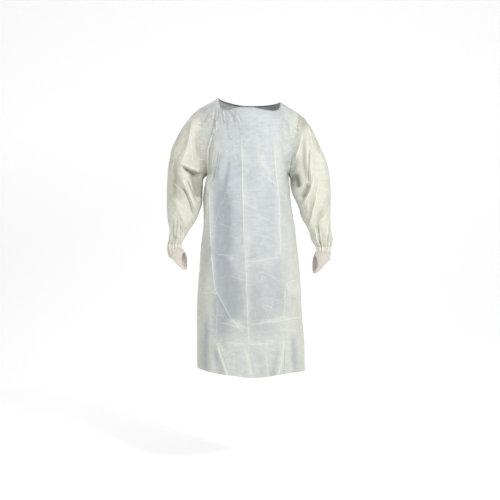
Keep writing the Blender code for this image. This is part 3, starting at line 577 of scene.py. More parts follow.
# Patterns in the cloth: how fine each kind is, and its settings
CLOUDS_PER_METRE = 20.0
CLOUD_NOISE = {"Detail": 7.0, "Roughness": 0.68, "Distortion": 0.8}
STREAKS_PER_METRE = 42.0
STREAK_NOISE = {"Detail": 6.0, "Roughness": 0.6, "Distortion": 0.5}
STREAK_SCALE = (0.7, 1.0, 2.2)
THREADS_PER_METRE = 120.0
THREAD_NOISE = {"Detail": 4.0, "Roughness": 0.7}
FIBRES_PER_METRE = 420.0
FIBRE_NOISE = {"Detail": 8.0, "Roughness": 0.7, "Distortion": 1.5}
WRINKLES_PER_METRE = 26.0
WRINKLE_NOISE = {"Detail": 5.0, "Roughness": 0.55}
WRINKLE_DEPTH = 0.0040
BONDS_PER_METRE = 520.0
BOND_CELLS = {"Randomness": 0.15}

# Mottle: share of the clouds beside streaks and threads, the sums read as dark and light, and the
# fibre noise read so
CLOUD_SHARE = 0.6
MOTTLE_LOW = 1.00
MOTTLE_HIGH = 1.60
FIBRE_LOW = 0.30
FIBRE_HIGH = 0.70

# Web of fine creases: cells per metre, half width, and noise where its patches begin and are full
WEBS = ((11.0, 0.0022, 0.50, 0.66), (27.0, 0.0016, 0.48, 0.66))
WEB_CELLS = {"Randomness": 1.0}
PATCH_NOISE = {"Detail": 3.0}
PATCH_SHARE = 0.6
# Web value at which its painted highlight along the creases is full, and the depth of its bump
WEB_REACH = 4.4
WEB_DEPTH = 0.0007

# Tones of the cloth, the painted highlight on fold crests, how much of a fold takes its crest to the
# full painted highlight and its hollows to the full painted shade, and its shine
DARK_TONE = 0.92
COOL_DARK_TONE = 0.82
LIGHT_TONE = 1.05
FIBRE_TONE = 0.94
CREST_HIGHLIGHT_TONE = 1.10
CREST_HIGHLIGHT_REACH = 1.8
HOLLOW_SHADE_REACH = 1.5
SPECULAR = 0.35
ROUGHNESS = 0.55
SHEEN_ROUGHNESS = 0.4

# Colours of the cloth. GOWN is the sleeves' cloth made a little darker, as painted shade over the
# body;
# RIDGE is a painted highlight along crease ridges, where the cloth also lies doubled; the hollow
# colours are painted shade in the folds
WHITE = (1.0, 1.0, 1.0)
WARM = (0.670, 0.665, 0.550)
COOL = (0.555, 0.600, 0.640)
GOWN = (0.640, 0.645, 0.535)
BAND = (0.77, 0.76, 0.66)
CUFF = (0.67, 0.62, 0.555)
RIDGE = (0.86, 0.87, 0.77)
GOWN_HOLLOW_SHADE = (0.31, 0.345, 0.375)
SLEEVE_HOLLOW_SHADE = (0.30, 0.28, 0.21)
CUFF_HOLLOW_SHADE = (0.50, 0.455, 0.40)

# Each slot's cloth: name, colour, painted shade in fold hollows, painted shade tone in crease
# troughs, sheen, depth of the weave
CLOTH_LOOKS = {
    "gown_cloth": ("gown_nonwoven", GOWN, GOWN_HOLLOW_SHADE, 0.72, 0.10, 0.00012),
    "sleeve_cloth": ("sleeve_nonwoven", WARM, SLEEVE_HOLLOW_SHADE, 0.50, 0.10, 0.00012),
    "elastic_casing": ("band_nonwoven", BAND, SLEEVE_HOLLOW_SHADE, 0.50, 0.12, 0.00014),
    "cuff_cloth": ("cuff_nonwoven", CUFF, CUFF_HOLLOW_SHADE, 0.60, 0.10, 0.00012),
    "tie_cloth": ("tie_nonwoven", WARM, SLEEVE_HOLLOW_SHADE, 0.60, 0.10, 0.00014),
}

# Studio
FLOOR = -1.525
FLOOR_FRONT = -6.0
FLOOR_BACK = 2.5
FLOOR_HALF_WIDTH = 7.0
SWEEP_RADIUS = 2.0
SWEEP_STEPS = 24
SWEEP_TOP = 6.0
PAPER = (0.93, 0.93, 0.93)
PAPER_ROUGHNESS = 0.9
PAPER_GLOW = 0.30
SURROUND_STRENGTH = 0.42
LIGHT_AIM = (0.0, 0.0, -0.5)

# Each light: its name, place, size and power
LIGHTS = (
    ("key", (1.9, -2.7, 1.5), 0.9, 92.0),
    ("fill", (-2.8, -2.0, 0.2), 1.8, 18.0),
    ("rim", (-1.2, 2.0, 1.8), 1.2, 20.0),
)
CAMERA_PLACE = (0.0, -3.6, -0.615)
CAMERA_LENS = 63.2
CAMERA_SENSOR = 36.0


def smooth_step(value):
    """0 below 0, 1 above 1, with a soft rise between."""
    part = np.clip(value, 0.0, 1.0)
    return part * part * (3.0 - 2.0 * part)


def unit(vectors):
    """The same directions with a length of 1."""
    return vectors / np.maximum(np.linalg.norm(vectors, axis=-1, keepdims=True), TINY)


def through(knots, values, at):
    """A curve without corners through values, which are given at rising knots."""
    knots = np.asarray(knots, float)
    values = np.asarray(values, float)
    slopes = np.gradient(values, knots)
    at = np.clip(at, knots[0], knots[-1])
    low = np.clip(np.searchsorted(knots, at) - 1, 0, len(knots) - 2)
    span = knots[low + 1] - knots[low]
    part = (at - knots[low]) / span
    rise = part * part * (3.0 - 2.0 * part)
    leaving = part * (1.0 - part) ** 2 * span * slopes[low]
    arriving = part * part * (1.0 - part) * span * slopes[low + 1]
    return values[low] + (values[low + 1] - values[low]) * rise + leaving - arriving


def evenly(line, columns):
    """columns + 1 points at equal steps along a line of points."""
    steps = np.linalg.norm(np.diff(line, axis=0), axis=1)
    reach = np.concatenate([[0.0], np.cumsum(steps)])
    places = np.linspace(0.0, reach[-1], columns + 1)
    return np.stack([np.interp(places, reach, line[:, axis]) for axis in range(3)], axis=1)


def crease_places(points, creases, mirrored):
    """For each crease, how far points lie across it and how much they are within its length."""
    for x_head, z_head, x_foot, z_foot, bow, half_width, height in zip(*creases.values()):
        if mirrored:
            x_head, x_foot, bow = -x_head, -x_foot, -bow
        run = np.array([x_foot - x_head, z_foot - z_head])
        length = np.hypot(*run)
        way = run / length
        from_head = points[..., [0, 2]] - np.array([x_head, z_head])
        along = from_head @ way / length
        arch = 4.0 * along * (1.0 - along)  # 0 at both ends, 1 halfway
        across = from_head @ np.array([-way[1], way[0]]) - bow * arch
        yield across, smooth_step(np.minimum(along, 1.0 - along) / CREASE_END), half_width, height


def relief(points, creases, mirrored=False):
    """How far the creases lift each point, read in front elevation."""
    lift = np.zeros(points.shape[:-1])
    for across, within, half_width, height in crease_places(points, creases, mirrored):
        lift += height * within * np.exp(-((across / half_width) ** 2))
    return lift


def with_puckers(creases, arm):
    """The narrow creases of a piece, and the short puckers that cross its armhole seam."""
    top = np.array([arm["outer_x"][0], arm["outer_z"][0]])
    foot = np.array([arm["inner_x"][0], arm["inner_z"][0]])
    way = (foot - top) / np.hypot(*(foot - top))
    outward = np.array([-way[1], way[0]])
    rows = []
    for number in range(PUCKERS):
        swing = math.sin(PUCKER_TURN * number)
        place = top + (foot - top) * (number + 0.5 + PUCKER_SHIFT * swing) / PUCKERS
        reach = PUCKER_LENGTH * (1.0 + PUCKER_SPREAD * swing)
        head = place - outward * reach - way * PUCKER_DROP
        end = place + outward * reach + way * PUCKER_DROP * swing
        height = PUCKER_HEIGHT * (1.0 if number % 2 else -1.0)
        rows.append((*head, *end, PUCKER_BOW * swing, PUCKER_HALF_WIDTH, height))
    added = table(CREASE_COLUMNS, *rows)
    return {name: np.concatenate([creases[name], added[name]]) for name in creases}


def soft_noise(places):
    """Smooth noise at each of many places."""
    return np.array([noise.noise(Vector(place)) for place in places])


def line_marks(points, creases, mirrored=False):
    """How far each point lies across the strongest narrow crease there, and its strength."""
    distance = np.full(points.shape[:-1], LINE_REACH)
    strength = np.zeros(points.shape[:-1])
    for across, within, _, height in crease_places(points, creases, mirrored):
        here = height / LINE_FULL_HEIGHT * within * np.exp(-((across / LINE_REACH) ** 2))
        stronger = np.abs(here) > np.abs(strength)
        distance = np.where(stronger, across, distance)
        strength = np.where(stronger, here, strength)
    wobble = soft_noise(points.reshape(-1, 3) * WOBBLE_PER_METRE).reshape(distance.shape)
    return distance + WOBBLE * wobble, np.clip(strength, -1.0, 1.0)


def skirt_shade(points):
    """How shaded the middle of the skirt looks, fading to the waist, sides and hem."""
    x, z = np.abs(points[..., 0]), points[..., 2]
    waist = smooth_step((COOL_TOP - z) / COOL_FADE)
    hem = smooth_step((SKIRT_BOTTOM - z) / SKIRT_FADE)
    side = smooth_step((x - SKIRT_HALF_WIDTH) / SKIRT_SIDE_FADE)
    return SKIRT_SHADE * waist * (1.0 - hem) * (1.0 - side)


def cool_share(points):
    """How cool the thin cloth looks: most over the chest, fading without an edge."""
    x, z = np.abs(points[..., 0]), points[..., 2]
    below = smooth_step((COOL_TOP - z) / COOL_FADE)
    strength = COOL_CHEST + (COOL_SKIRT - COOL_CHEST) * below
    return strength * (1.0 - COOL_SIDE_LOSS * smooth_step((x - COOL_HALF_WIDTH) / COOL_SIDE_FADE))


def surface_marks(distance, strength, folds):
    """What the material reads at each point: its narrow crease, and the fold that sets its painted
    highlight and shade.
    """
    fold_light_and_shade = np.clip(folds / FOLD_FULL_HEIGHT, -1.0, 1.0)
    return {"across": distance, "crease": strength, "fold": fold_light_and_shade}


def plain_marks(folds):
    """The same for a piece without narrow creases."""
    return surface_marks(np.full(folds.shape, LINE_REACH), np.zeros(folds.shape), folds)


def crumple(points, seed):
    """Irregular ridges of crumpled thin cloth, in metres."""
    lift = np.zeros(points.shape[:-1])
    flat = points.reshape(-1, 3)
    for number, (per_metre, height, stretch) in enumerate(zip(*CRUMPLE.values())):
        scale = np.array([per_metre, per_metre, per_metre / stretch])
        values = soft_noise(flat * scale + seed + CRUMPLE_SHIFT * number)
        ridges = CRUMPLE_MEAN - np.sqrt(values**2 + CRUMPLE_EDGE**2)
        lift += height * ridges.reshape(lift.shape)
    return lift


def puckered(away):
    """How much stronger the crumple is where away is 0, on an armhole seam, than where it is 1."""
    return 1.0 + PUCKER_GAIN * (1.0 - smooth_step(away))


def grid_normals(points, wraps):
    """Unit normals of a grid of points, whose columns may wrap round a tube."""
    down_rows = np.gradient(points, axis=0)
    if wraps:
        along_row = np.roll(points, -1, axis=1) - np.roll(points, 1, axis=1)
    else:
        along_row = np.gradient(points, axis=1)
    return unit(np.cross(along_row, down_rows))


def skin(form, grid, layers):
    """The vertices of one side of a wall, with the marks that the material reads."""
    vertices = [[form.verts.new(Vector(point)) for point in row] for row in grid]
    for layer, values in layers:
        for line, row_values in zip(vertices, values):
            for vertex, value in zip(line, row_values):
                vertex[layer] = value
    return vertices


def wall_faces(skins, cells, columns, wraps):
    """The corners of each face of a wall: its two skins, and rims where a cell has no neighbour."""
    for row, column in sorted(cells):
        following = (column + 1) % columns
        corners = [(row, column), (row, following), (row + 1, following), (row + 1, column)]
        yield [skins[0][r][c] for r, c in corners]
        yield [skins[1][r][c] for r, c in reversed(corners)]
        neighbours = [(row - 1, column), (row, column + 1), (row + 1, column), (row, column - 1)]
        for edge, (beside_row, beside) in enumerate(neighbours):
            if (beside_row, beside % columns if wraps else beside) in cells:
                continue
            first, second = corners[edge], corners[(edge + 1) % 4]
            rim = [(skins[0], second), (skins[0], first), (skins[1], first), (skins[1], second)]
            yield [grid[r][c] for grid, (r, c) in rim]


def wall(name, slot, outer, inner, marks, wraps=False, left_out=frozenset()):
    """One closed cloth wall between an outer and an inner grid, less the cells left out."""
    rows, columns = outer.shape[:2]
    cells_across = columns if wraps else columns - 1
    cells = {(row, column) for row in range(rows - 1) for column in range(cells_across)}
    form = bmesh.new()
    marks = dict(marks, cool=cool_share(outer))
    layers = [(form.verts.layers.float.new(key), marks[key]) for key in sorted(marks)]
    skins = [skin(form, outer, layers), skin(form, inner, layers)]
    for corners in wall_faces(skins, cells - left_out, columns, wraps):
        form.faces.new(corners)
    unused = [vertex for vertex in form.verts if not vertex.link_faces]
    bmesh.ops.delete(form, geom=unused, context="VERTS")
    mesh = bpy.data.meshes.new(name)
    form.to_mesh(mesh)
    form.free()
    mesh.shade_smooth()
    mesh.set_sharp_from_angle(angle=SHARP_ANGLE)
    mesh.materials.append(CLOTHS[slot])
    piece = bpy.data.objects.new("cloth_" + name, mesh)
    bpy.context.scene.collection.objects.link(piece)
    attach(piece, "root")
    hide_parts(name)
    return piece


def torso_size(column, height):
    """One size of the torso at a height."""
    return through(TORSO["height"], TORSO[column], height)


def torso_width(height):
    """The middle and the half width of the torso at a height."""
    right_side = torso_size("right_side", height)
    left_side = torso_size("left_side", height)
    return (right_side + left_side) / 2, (left_side - right_side) / 2


def torso_section(height, half):
    """Half a level section, front or back, as points from the right side seam to the left."""
    middle, half_width = torso_width(height)
    depth = torso_size(half, height)
    square = 2.0 / torso_size(half + "_square", height)
    angles = np.linspace(-math.pi / 2, math.pi / 2, FINE_STEPS)
    sines = np.sin(angles)
    x = middle + half_width * np.sign(sines) * np.abs(sines) ** square
    y = depth * np.abs(np.cos(angles)) ** square
    return np.stack([x, y, np.full_like(x, height)], axis=1)


def torso_side(y, height, side):
    """The x of the torso's side at a depth y, on the right (-1) or the left (+1)."""
    middle, half_width = torso_width(height)
    depth = np.where(y < 0, torso_size("front", height), torso_size("back", height))
    square = np.where(y < 0, torso_size("front_square", height), torso_size("back_square", height))
    share = np.clip(np.abs(y / depth), 0.0, 1.0)
    return middle + side * half_width * (1.0 - share**square) ** (1.0 / square)


def armhole_frame(arm):
    """Centre, half height as a vector, and half depth of an armhole, the arm's first ring."""
    top = np.array([arm["outer_x"][0], 0.0, arm["outer_z"][0]])
    foot = np.array([arm["inner_x"][0], 0.0, arm["inner_z"][0]])
    return (top + foot) / 2, (top - foot) / 2, arm["half_depth"][0]


def ring_outward(arm, facing, turns):
    """Directions out of the armhole's ring at turns from its top, within the ring's own plane."""
    _, up, half_depth = armhole_frame(arm)
    depth_way = np.array([0.0, facing, 0.0])
    height_part = up / np.linalg.norm(up) ** 2 * np.cos(turns)[:, None]
    return unit(height_part + depth_way / half_depth * np.sin(turns)[:, None])


def armhole_edge(arm, facing):
    """Half an armhole from the underarm to the shoulder, in front (-1) or behind (+1).

    Gives its points and the directions out of the ring.
    """
    centre, up, half_depth = armhole_frame(arm)
    turns = np.linspace(math.pi, 0.0, YOKE_ROWS + 1)
    depth = np.array([0.0, facing * half_depth, 0.0])
    points = centre + up * np.cos(turns)[:, None] + depth * np.sin(turns)[:, None]
    return points, ring_outward(arm, facing, turns)


def body_rows(half, columns_of):
    """Rows of a panel from hem to underarm, each a level section set to the hem's line."""
    rows = []
    for part in np.linspace(0.0, 1.0, BODY_ROWS + 1):
        row = columns_of(torso_section(HEM + (UNDERARM - HEM) * part, half))
        hem = through(HEM_LINE["x"], HEM_LINE[half], row[:, 0])
        row[:, 2] = hem + (UNDERARM - hem) * part
        rows.append(row)
    return np.array(rows)


def yoke_rows(foot, head, edges):
    """Rows from the underarm section up to the shoulder and neck, fitted to the armholes.

    edges holds (side, points) with side -1 where the armhole is at the first column
    and +1 where it is at the last.
    """
    rows = []
    across = np.linspace(-1.0, 1.0, len(foot))
    for row in range(1, YOKE_ROWS + 1):
        turn = math.pi / 2 * row / YOKE_ROWS
        rise = np.array([row / YOKE_ROWS, 1.0 - math.cos(turn), math.sin(turn)])
        line = foot + (head - foot) * rise
        for side, points in edges:
            at = 0 if side < 0 else -1
            near = np.clip((side * across - ARMHOLE_REACH) / (1.0 - ARMHOLE_REACH), 0.0, 1.0)
            line = line + (near**ARMHOLE_EASE)[:, None] * (points[row] - line[at])
        rows.append(line)
    return np.array(rows)


def away_from(points, seams, reach):
    """0 on the seams and 1 beyond reach of them, for points of a grid."""
    flat = points.reshape(-1, 3)
    nearest = np.full(len(flat), np.inf)
    for seam in seams:
        for place in seam:
            nearest = np.minimum(nearest, np.linalg.norm(flat - place, axis=1))
    return smooth_step(nearest / reach).reshape(points.shape[:-1])


def neckline(sizes):
    """A smooth line through a neckline's table of points."""
    places = np.stack(list(sizes.values()), axis=1)
    steps = np.concatenate([[0.0], np.cumsum(np.linalg.norm(np.diff(places, axis=0), axis=1))])
    fine = np.linspace(0.0, steps[-1], FINE_STEPS)
    return np.stack([through(steps, places[:, axis], fine) for axis in range(3)], axis=1)


def shoulder(arm, neck_point):
    """The shoulder seam, from the armhole's top to the neck point."""
    centre, up, _ = armhole_frame(arm)
    return evenly(np.array([centre + up, np.array(neck_point)]), SHOULDER_COLUMNS)


def flatten_shoulder(normals, columns):
    """Turn the edge at a shoulder seam straight up, so that front and back meet face to face."""
    normals[-1, columns, 1] = 0.0


def side_direction(row, ring_way, side):
    """Outward direction at an armhole's edge: sideways at the underarm, then in the ring's plane."""
    turned = smooth_step((row / YOKE_ROWS - SIDE_TO_RING_START) / SIDE_TO_RING_RISE)
    return unit(ring_way * turned + np.array([side, 0.0, 0.0]) * (1.0 - turned))


def set_side_edge(normals, column, side, ring_ways):
    """Turn a panel's side column so that it meets the next piece face to face."""
    normals[: BODY_ROWS + 1, column, 1] = 0.0
    for row in range(YOKE_ROWS + 1):
        normals[BODY_ROWS + row, column] = side_direction(row, ring_ways[row], side)
    normals[:, column] = unit(normals[:, column])


def creased(base, side, kind, creases, lines, seams, edges, armholes):
    """A panel's outer grid with its creases and crumple, and how far they fold it, which sets its
    painted highlight and shade.
    """
    broad = relief(base, creases)
    lift = broad * away_from(base, seams, CREASE_SEAM_REACH)
    pucker = puckered(away_from(base, armholes, PUCKER_REACH))
    rough = CRUMPLE_SHARES[kind] * crumple(base, CRUMPLE_SEEDS[kind]) * pucker
    fine = LINE_GAIN * relief(base, lines) + rough
    lift = lift + fine * away_from(base, seams + edges, FINE_SEAM_REACH)
    return base + side * grid_normals(base, False) * lift[..., None], rough + broad


def front_panel():
    """The front, hem to shoulders, with the neckline cut into its head."""
    columns = 2 * SHOULDER_COLUMNS + NECK_COLUMNS
    lower = body_rows("front", lambda section: evenly(section, columns))
    right_shoulder = shoulder(RIGHT_ARM, RIGHT_NECK_POINT)
    left_shoulder = shoulder(LEFT_ARM, LEFT_NECK_POINT)[::-1]
    neck = evenly(neckline(FRONT_NECKLINE), NECK_COLUMNS)
    head = np.concatenate([right_shoulder, neck[1:-1], left_shoulder])
    right_edge, right_ways = armhole_edge(RIGHT_ARM, -1.0)
    left_edge, left_ways = armhole_edge(LEFT_ARM, -1.0)
    upper = yoke_rows(lower[-1], head, [(-1, right_edge), (1, left_edge)])
    base = np.concatenate([lower, upper])
    seams = [base[:, 0], base[:, -1], right_shoulder, left_shoulder]
    armholes = [base[BODY_ROWS:, 0], base[BODY_ROWS:, -1]]
    lines = with_puckers(with_puckers(FRONT_LINES, RIGHT_ARM), LEFT_ARM)
    outer, folds = creased(base, 1.0, "front", FRONT_CREASES, lines, seams, [], armholes)
    normals = grid_normals(outer, False)
    set_side_edge(normals, 0, -1.0, right_ways)
    set_side_edge(normals, -1, 1.0, left_ways)
    flatten_shoulder(normals, slice(1, SHOULDER_COLUMNS + 1))
    flatten_shoulder(normals, slice(-SHOULDER_COLUMNS - 1, -1))
    outer = outer - np.array([0.0, SEAM_GAP / 2, 0.0])
    marks = surface_marks(*line_marks(base, lines), folds - skirt_shade(base))
    piece = wall("front", "gown_cloth", outer, outer - unit(normals) * WALL, marks)


def half_gap(height):
    """Half the width of the back opening at a height."""
    return np.interp(height, BACK_OPENING["height"], BACK_OPENING["half_gap"])


def nape_line(side, neck_point):
    """The neckline behind, from the neck point round to the back opening."""
    turns = np.linspace(0.0, math.pi / 2, FINE_STEPS)
    nape_x = side * half_gap(0.0)
    x = nape_x + (neck_point[0] - nape_x) * np.cos(turns)
    y = NAPE_DEPTH * np.sin(turns)
    z = neck_point[2] + (NAPE_HEIGHT - neck_point[2]) * np.sin(turns) ** 2
    return np.stack([x, y, z], axis=1)


def back_grids(side, arm, neck_point):
    """Outer and inner points of one half of the back, right (-1) or left (+1).

    The columns run from the side seam to the opening.
    """
    columns = SHOULDER_COLUMNS + BACK_NECK_COLUMNS

    def columns_of(section):
        edge = side * half_gap(section[0, 2])
        kept = section if side < 0 else section[::-1]
        inside = side * (kept[:, 0] - edge) > 0
        depth = np.interp(edge, section[:, 0], section[:, 1])
        return evenly(np.concatenate([kept[inside], [[edge, depth, section[0, 2]]]]), columns)

    lower = body_rows("back", columns_of)
    shoulder_seam = shoulder(arm, neck_point)
    head = np.concatenate([shoulder_seam, evenly(nape_line(side, neck_point), BACK_NECK_COLUMNS)[1:]])
    edge, ring_ways = armhole_edge(arm, 1.0)
    base = np.concatenate([lower, yoke_rows(lower[-1], head, [(-1, edge)])])
    base[:, -1, 0] = side * half_gap(base[:, -1, 2])
    seams = [base[:, 0], shoulder_seam, base[-SEAMED_NAPE_ROWS:, -1]]
    edges, armholes = [base[:, -1]], [base[BODY_ROWS:, 0]]
    outer, folds = creased(base, side, "back", BACK_CREASES, BACK_LINES, seams, edges, armholes)
    normals = side * grid_normals(outer, False)
    set_side_edge(normals, 0, side, ring_ways)
    flatten_shoulder(normals, slice(1, SHOULDER_COLUMNS + 1))
    normals[:, -1, 0] = 0.0
    outer = outer + np.array([0.0, SEAM_GAP / 2, 0.0])
    return outer, outer - unit(normals) * WALL, surface_marks(*line_marks(base, BACK_LINES), folds)


def back_panel(name, side, grids):
    """One half of the back as a wall."""
    outer, inner, marks = grids
    if side < 0:
        outer, inner = outer[:, ::-1], inner[:, ::-1]
        marks = {key: values[:, ::-1] for key, values in marks.items()}
    piece = wall(name, "gown_cloth", outer, inner, marks)


def stations(arm):
    """How far along the arm each of its rings lies."""
    x = (arm["outer_x"] + arm["inner_x"]) / 2
    z = (arm["outer_z"] + arm["inner_z"]) / 2
    return np.concatenate([[0.0], np.cumsum(np.hypot(np.diff(x), np.diff(z)))])


def arm_sizes(arm, station):
    """Each size of the sleeve's rings at stations along it."""
    along = stations(arm)
    return {name: through(along, values, station) for name, values in arm.items()}


def ring_grid(first, last, rows, columns):
    """Stations along a tube and angles round it, one of each for every point of a grid."""
    angle = np.linspace(0.0, 2 * math.pi, columns, endpoint=False)
    return np.meshgrid(np.linspace(first, last, rows + 1), angle, indexing="ij")


def arm_points(arm, side, station, angle):
    """Points of a sleeve at stations along it and angles round it from its outer line.

    Gives also how much each of them lies in front, and behind.
    """
    size = arm_sizes(arm, station)
    cosine, sine = np.cos(angle), np.sin(angle)
    x = (size["outer_x"] + size["inner_x"]) / 2 + (size["outer_x"] - size["inner_x"]) / 2 * cosine
    z = (size["outer_z"] + size["inner_z"]) / 2 + (size["outer_z"] - size["inner_z"]) / 2 * cosine
    y = size["centre_y"] - side * size["half_depth"] * sine
    front_share = smooth_step(side * sine / FACE_FADE)
    back_share = smooth_step(-side * sine / FACE_FADE)
    return np.stack([x, y, z], axis=-1), front_share, back_share


def within_ring(ways, arm, station):
    """The part of each direction that lies in the plane of the sleeve's ring at a station."""
    size = arm_sizes(arm, station)
    across = np.array([size["outer_x"] - size["inner_x"], 0.0, size["outer_z"] - size["inner_z"]])
    plane_way = unit(np.cross(across, np.array([0.0, 1.0, 0.0])))
    return unit(ways - (ways @ plane_way)[:, None] * plane_way)


def clear_of_torso(points, side, station):
    """Keep a sleeve's points just outside the torso's side."""
    limit = torso_side(points[..., 1], points[..., 2], side) + side * SLEEVE_CLEARANCE
    kept = points.copy()
    outside = np.maximum(side * points[..., 0], side * limit) * side
    share = smooth_step(station / SLEEVE_CLEAR_START)
    kept[..., 0] += (outside - points[..., 0]) * share
    return kept


def gather_wave(angle):
    """The uneven wave of the gathers round a wrist."""
    wave = np.zeros_like(angle)
    for waves, phase, share in zip(*GATHERS.values()):
        wave += share * np.cos(waves * angle + phase)
    return GATHER_DEPTH * wave


def gathered(station, angle, start, finish):
    """The wrist gathers, growing from the start station to the finish one, some of them shorter."""
    begin = start + (finish - start) * GATHER_UNEVEN * (1.0 + np.cos(GATHER_LOBES * angle)) / 2
    return gather_wave(angle) * smooth_step((station - begin) / (finish - begin))


def between_seams(station, end, reach):
    """0 on the seams at a sleeve's two ends and 1 beyond reach of them."""
    return smooth_step(station / reach) * smooth_step((end - station) / reach)


def sleeve(name, side, arm, creases, lines):
    """A sleeve from the armhole to the wrist, right (-1) or left (+1)."""
    end = stations(arm)[BAND_TOP_RING] - SEAM_GAP / 2
    station, angle = ring_grid(0.0, end, SLEEVE_ROWS, 2 * YOKE_ROWS)
    base, front_share, back_share = arm_points(arm, side, station, angle)
    lines = with_puckers(lines, arm)
    mirrored = side < 0
    broad = SLEEVE_GAIN * (relief(base, creases) * front_share)
    broad = broad + relief(base, BACK_SLEEVE_CREASES, mirrored) * back_share
    narrow = relief(base, lines) * front_share
    narrow = narrow + relief(base, BACK_SLEEVE_LINES, mirrored) * back_share
    rough = crumple(base, CRUMPLE_SEEDS["sleeve"]) * puckered(station / PUCKER_REACH)
    gathers = gathered(station, angle, end - GATHER_LENGTH, end)
    lift = broad * between_seams(station, end, CREASE_SEAM_REACH) + gathers
    lift = lift + (LINE_GAIN * narrow + rough) * between_seams(station, end, FINE_SEAM_REACH)
    ways = grid_normals(base, True)
    ways[-1] = within_ring(ways[-1], arm, end)
    outer = clear_of_torso(base + ways * lift[..., None], side, station)
    outer[..., 0] += side * SEAM_GAP
    normals = grid_normals(outer, True)
    normals[-1] = within_ring(normals[-1], arm, end)
    normals[0] = ring_outward(arm, -side, angle[0])
    front_distance, front_strength = line_marks(base, lines)
    back_distance, back_strength = line_marks(base, BACK_SLEEVE_LINES, mirrored)
    distance = np.where(front_share > 0, front_distance, back_distance)
    strength = front_strength * front_share + back_strength * back_share
    # The folds and gathers of the sleeve set its painted highlight and shade
    marks = surface_marks(distance, strength, rough + SLEEVE_FOLD_SHADING * broad + GATHER_SHADING * gathers)
    piece = wall(name, "sleeve_cloth", outer, outer - normals * WALL, marks, wraps=True)


def wrist_band(name, side, arm):
    """The elastic casing that gathers the wrist."""
    start = stations(arm)[BAND_TOP_RING] + SEAM_GAP / 2
    end = stations(arm)[BAND_FOOT_RING] - SEAM_GAP / 2
    station, angle = ring_grid(start, end, BAND_ROWS, BAND_COLUMNS)
    base, _, _ = arm_points(arm, side, station, angle)
    normals = grid_normals(base, True)
    normals[0] = within_ring(normals[0], arm, start)
    normals[-1] = within_ring(normals[-1], arm, end)
    gathers = gathered(station, angle, start - GATHER_LENGTH, start)
    lift = (BAND_WALL - WALL) / 2 + gathers
    outer = base + normals * lift[..., None]
    outer[..., 0] += side * SEAM_GAP
    # The gathers set the band's painted highlight and shade
    marks = plain_marks(GATHER_SHADING * gathers)
    piece = wall(name, "elastic_casing", outer, outer - normals * BAND_WALL, marks, wraps=True)


def cuff_grid(side):
    """A grid over the hand cover, drawn round its thumb hole.

    Gives the angle of each point, its share of the way down, and the cells that the hole takes.
    """
    columns = CUFF_COLUMNS
    rows = CUFF_ROWS + 1
    known = len(CUFF_SHARES)
    row_shares = np.interp(np.linspace(0, known - 1, rows), np.arange(known), CUFF_SHARES)
    hole_column = round(side * HOLE_ANGLE / (2 * math.pi) * columns) % columns
    hole_row = (HOLE_FIRST_ROW + HOLE_LAST_ROW) / 2
    half_rows = (HOLE_LAST_ROW - HOLE_FIRST_ROW) / 2
    row, column = np.indices((rows, columns)).astype(float)
    across = (column - hole_column + columns / 2) % columns - columns / 2
    across, down = across / HOLE_HALF_COLUMNS, (row - hole_row) / half_rows
    square = np.maximum(np.abs(across), np.abs(down))
    rounding = smooth_step(HOLE_ROUNDING - square) * (square > 0)
    scale = 1.0 + (square / np.maximum(np.hypot(across, down), TINY) - 1.0) * rounding
    angle = (hole_column + across * scale * HOLE_HALF_COLUMNS) / columns * 2 * math.pi
    row_place = np.clip(hole_row + down * scale * half_rows, 0, rows - 1)
    hole = {
        (hole_line, hole_cell % columns)
        for hole_line in range(HOLE_FIRST_ROW, HOLE_LAST_ROW)
        for hole_cell in range(hole_column - HOLE_HALF_COLUMNS, hole_column + HOLE_HALF_COLUMNS)
    }
    return angle, np.interp(row_place, np.arange(rows), row_shares), hole


def thumb_cuff(name, side, arm):
    """The hand cover below the elastic, cut slanting, with a thumb hole."""
    angle, share, hole = cuff_grid(side)
    start = stations(arm)[BAND_FOOT_RING] + SEAM_GAP / 2
    slant = smooth_step((1.0 - np.cos(angle)) / 2 / CUFF_SLANT_END)
    drop = share * (CUFF_SHORT + (CUFF_LONG - CUFF_SHORT) * slant)
    base, _, _ = arm_points(arm, side, start + drop, angle)
    normals = grid_normals(base, True)
    normals[0] = within_ring(normals[0], arm, start)
    opened = smooth_step(drop / CUFF_GATHER_LENGTH)
    gathers = gather_wave(angle) * (1.0 - opened)
    rough = crumple(base, CRUMPLE_SEEDS["sleeve"])
    lift = gathers + CRUMPLE_SHARES["cuff"] * rough * opened
    outer = base + normals * lift[..., None]
    outer[..., 0] += side * SEAM_GAP
    # The crumple and gathers set the cover's painted highlight and shade
    marks = plain_marks(rough + GATHER_SHADING * gathers)
    piece = wall(name, "cuff_cloth", outer, outer - normals * WALL, marks, wraps=True, left_out=hole)


def ribbon(name, places, facings, half_widths, half_depths):
    """A flat strap along a route, which faces a way at each place."""
    route = np.array(places)
    facings = unit(np.array(facings))
    along = unit(np.gradient(route, axis=0))
    across = unit(np.cross(facings, along)) * np.array(half_widths)[:, None]
    out = unit(np.cross(along, across)) * np.array(half_depths)[:, None]
    outer = np.stack([route + across + out, route - across + out], axis=1)
    inner = np.stack([route + across - out, route - across - out], axis=1)
    piece = wall(name, "tie_cloth", outer, inner, plain_marks(np.zeros(outer.shape[:-1])))


def strap_on_back(side, outer):
    """The part of a tie that lies on a back panel, from its stitching towards the opening.

    It follows the panel's own points, within one row of its cells.
    """
    columns = slice(TIE_FIRST_COLUMN, TIE_LAST_COLUMN + 1)
    low, high = outer[TIE_ROW, columns], outer[TIE_ROW + TIE_ROWS, columns]
    middle = (low + high) / 2
    facings = side * unit(np.cross(np.gradient(middle, axis=0), high - low))
    return list(middle + facings * (TIE_STAND_OFF + TIE_WALL / 2)), list(facings)


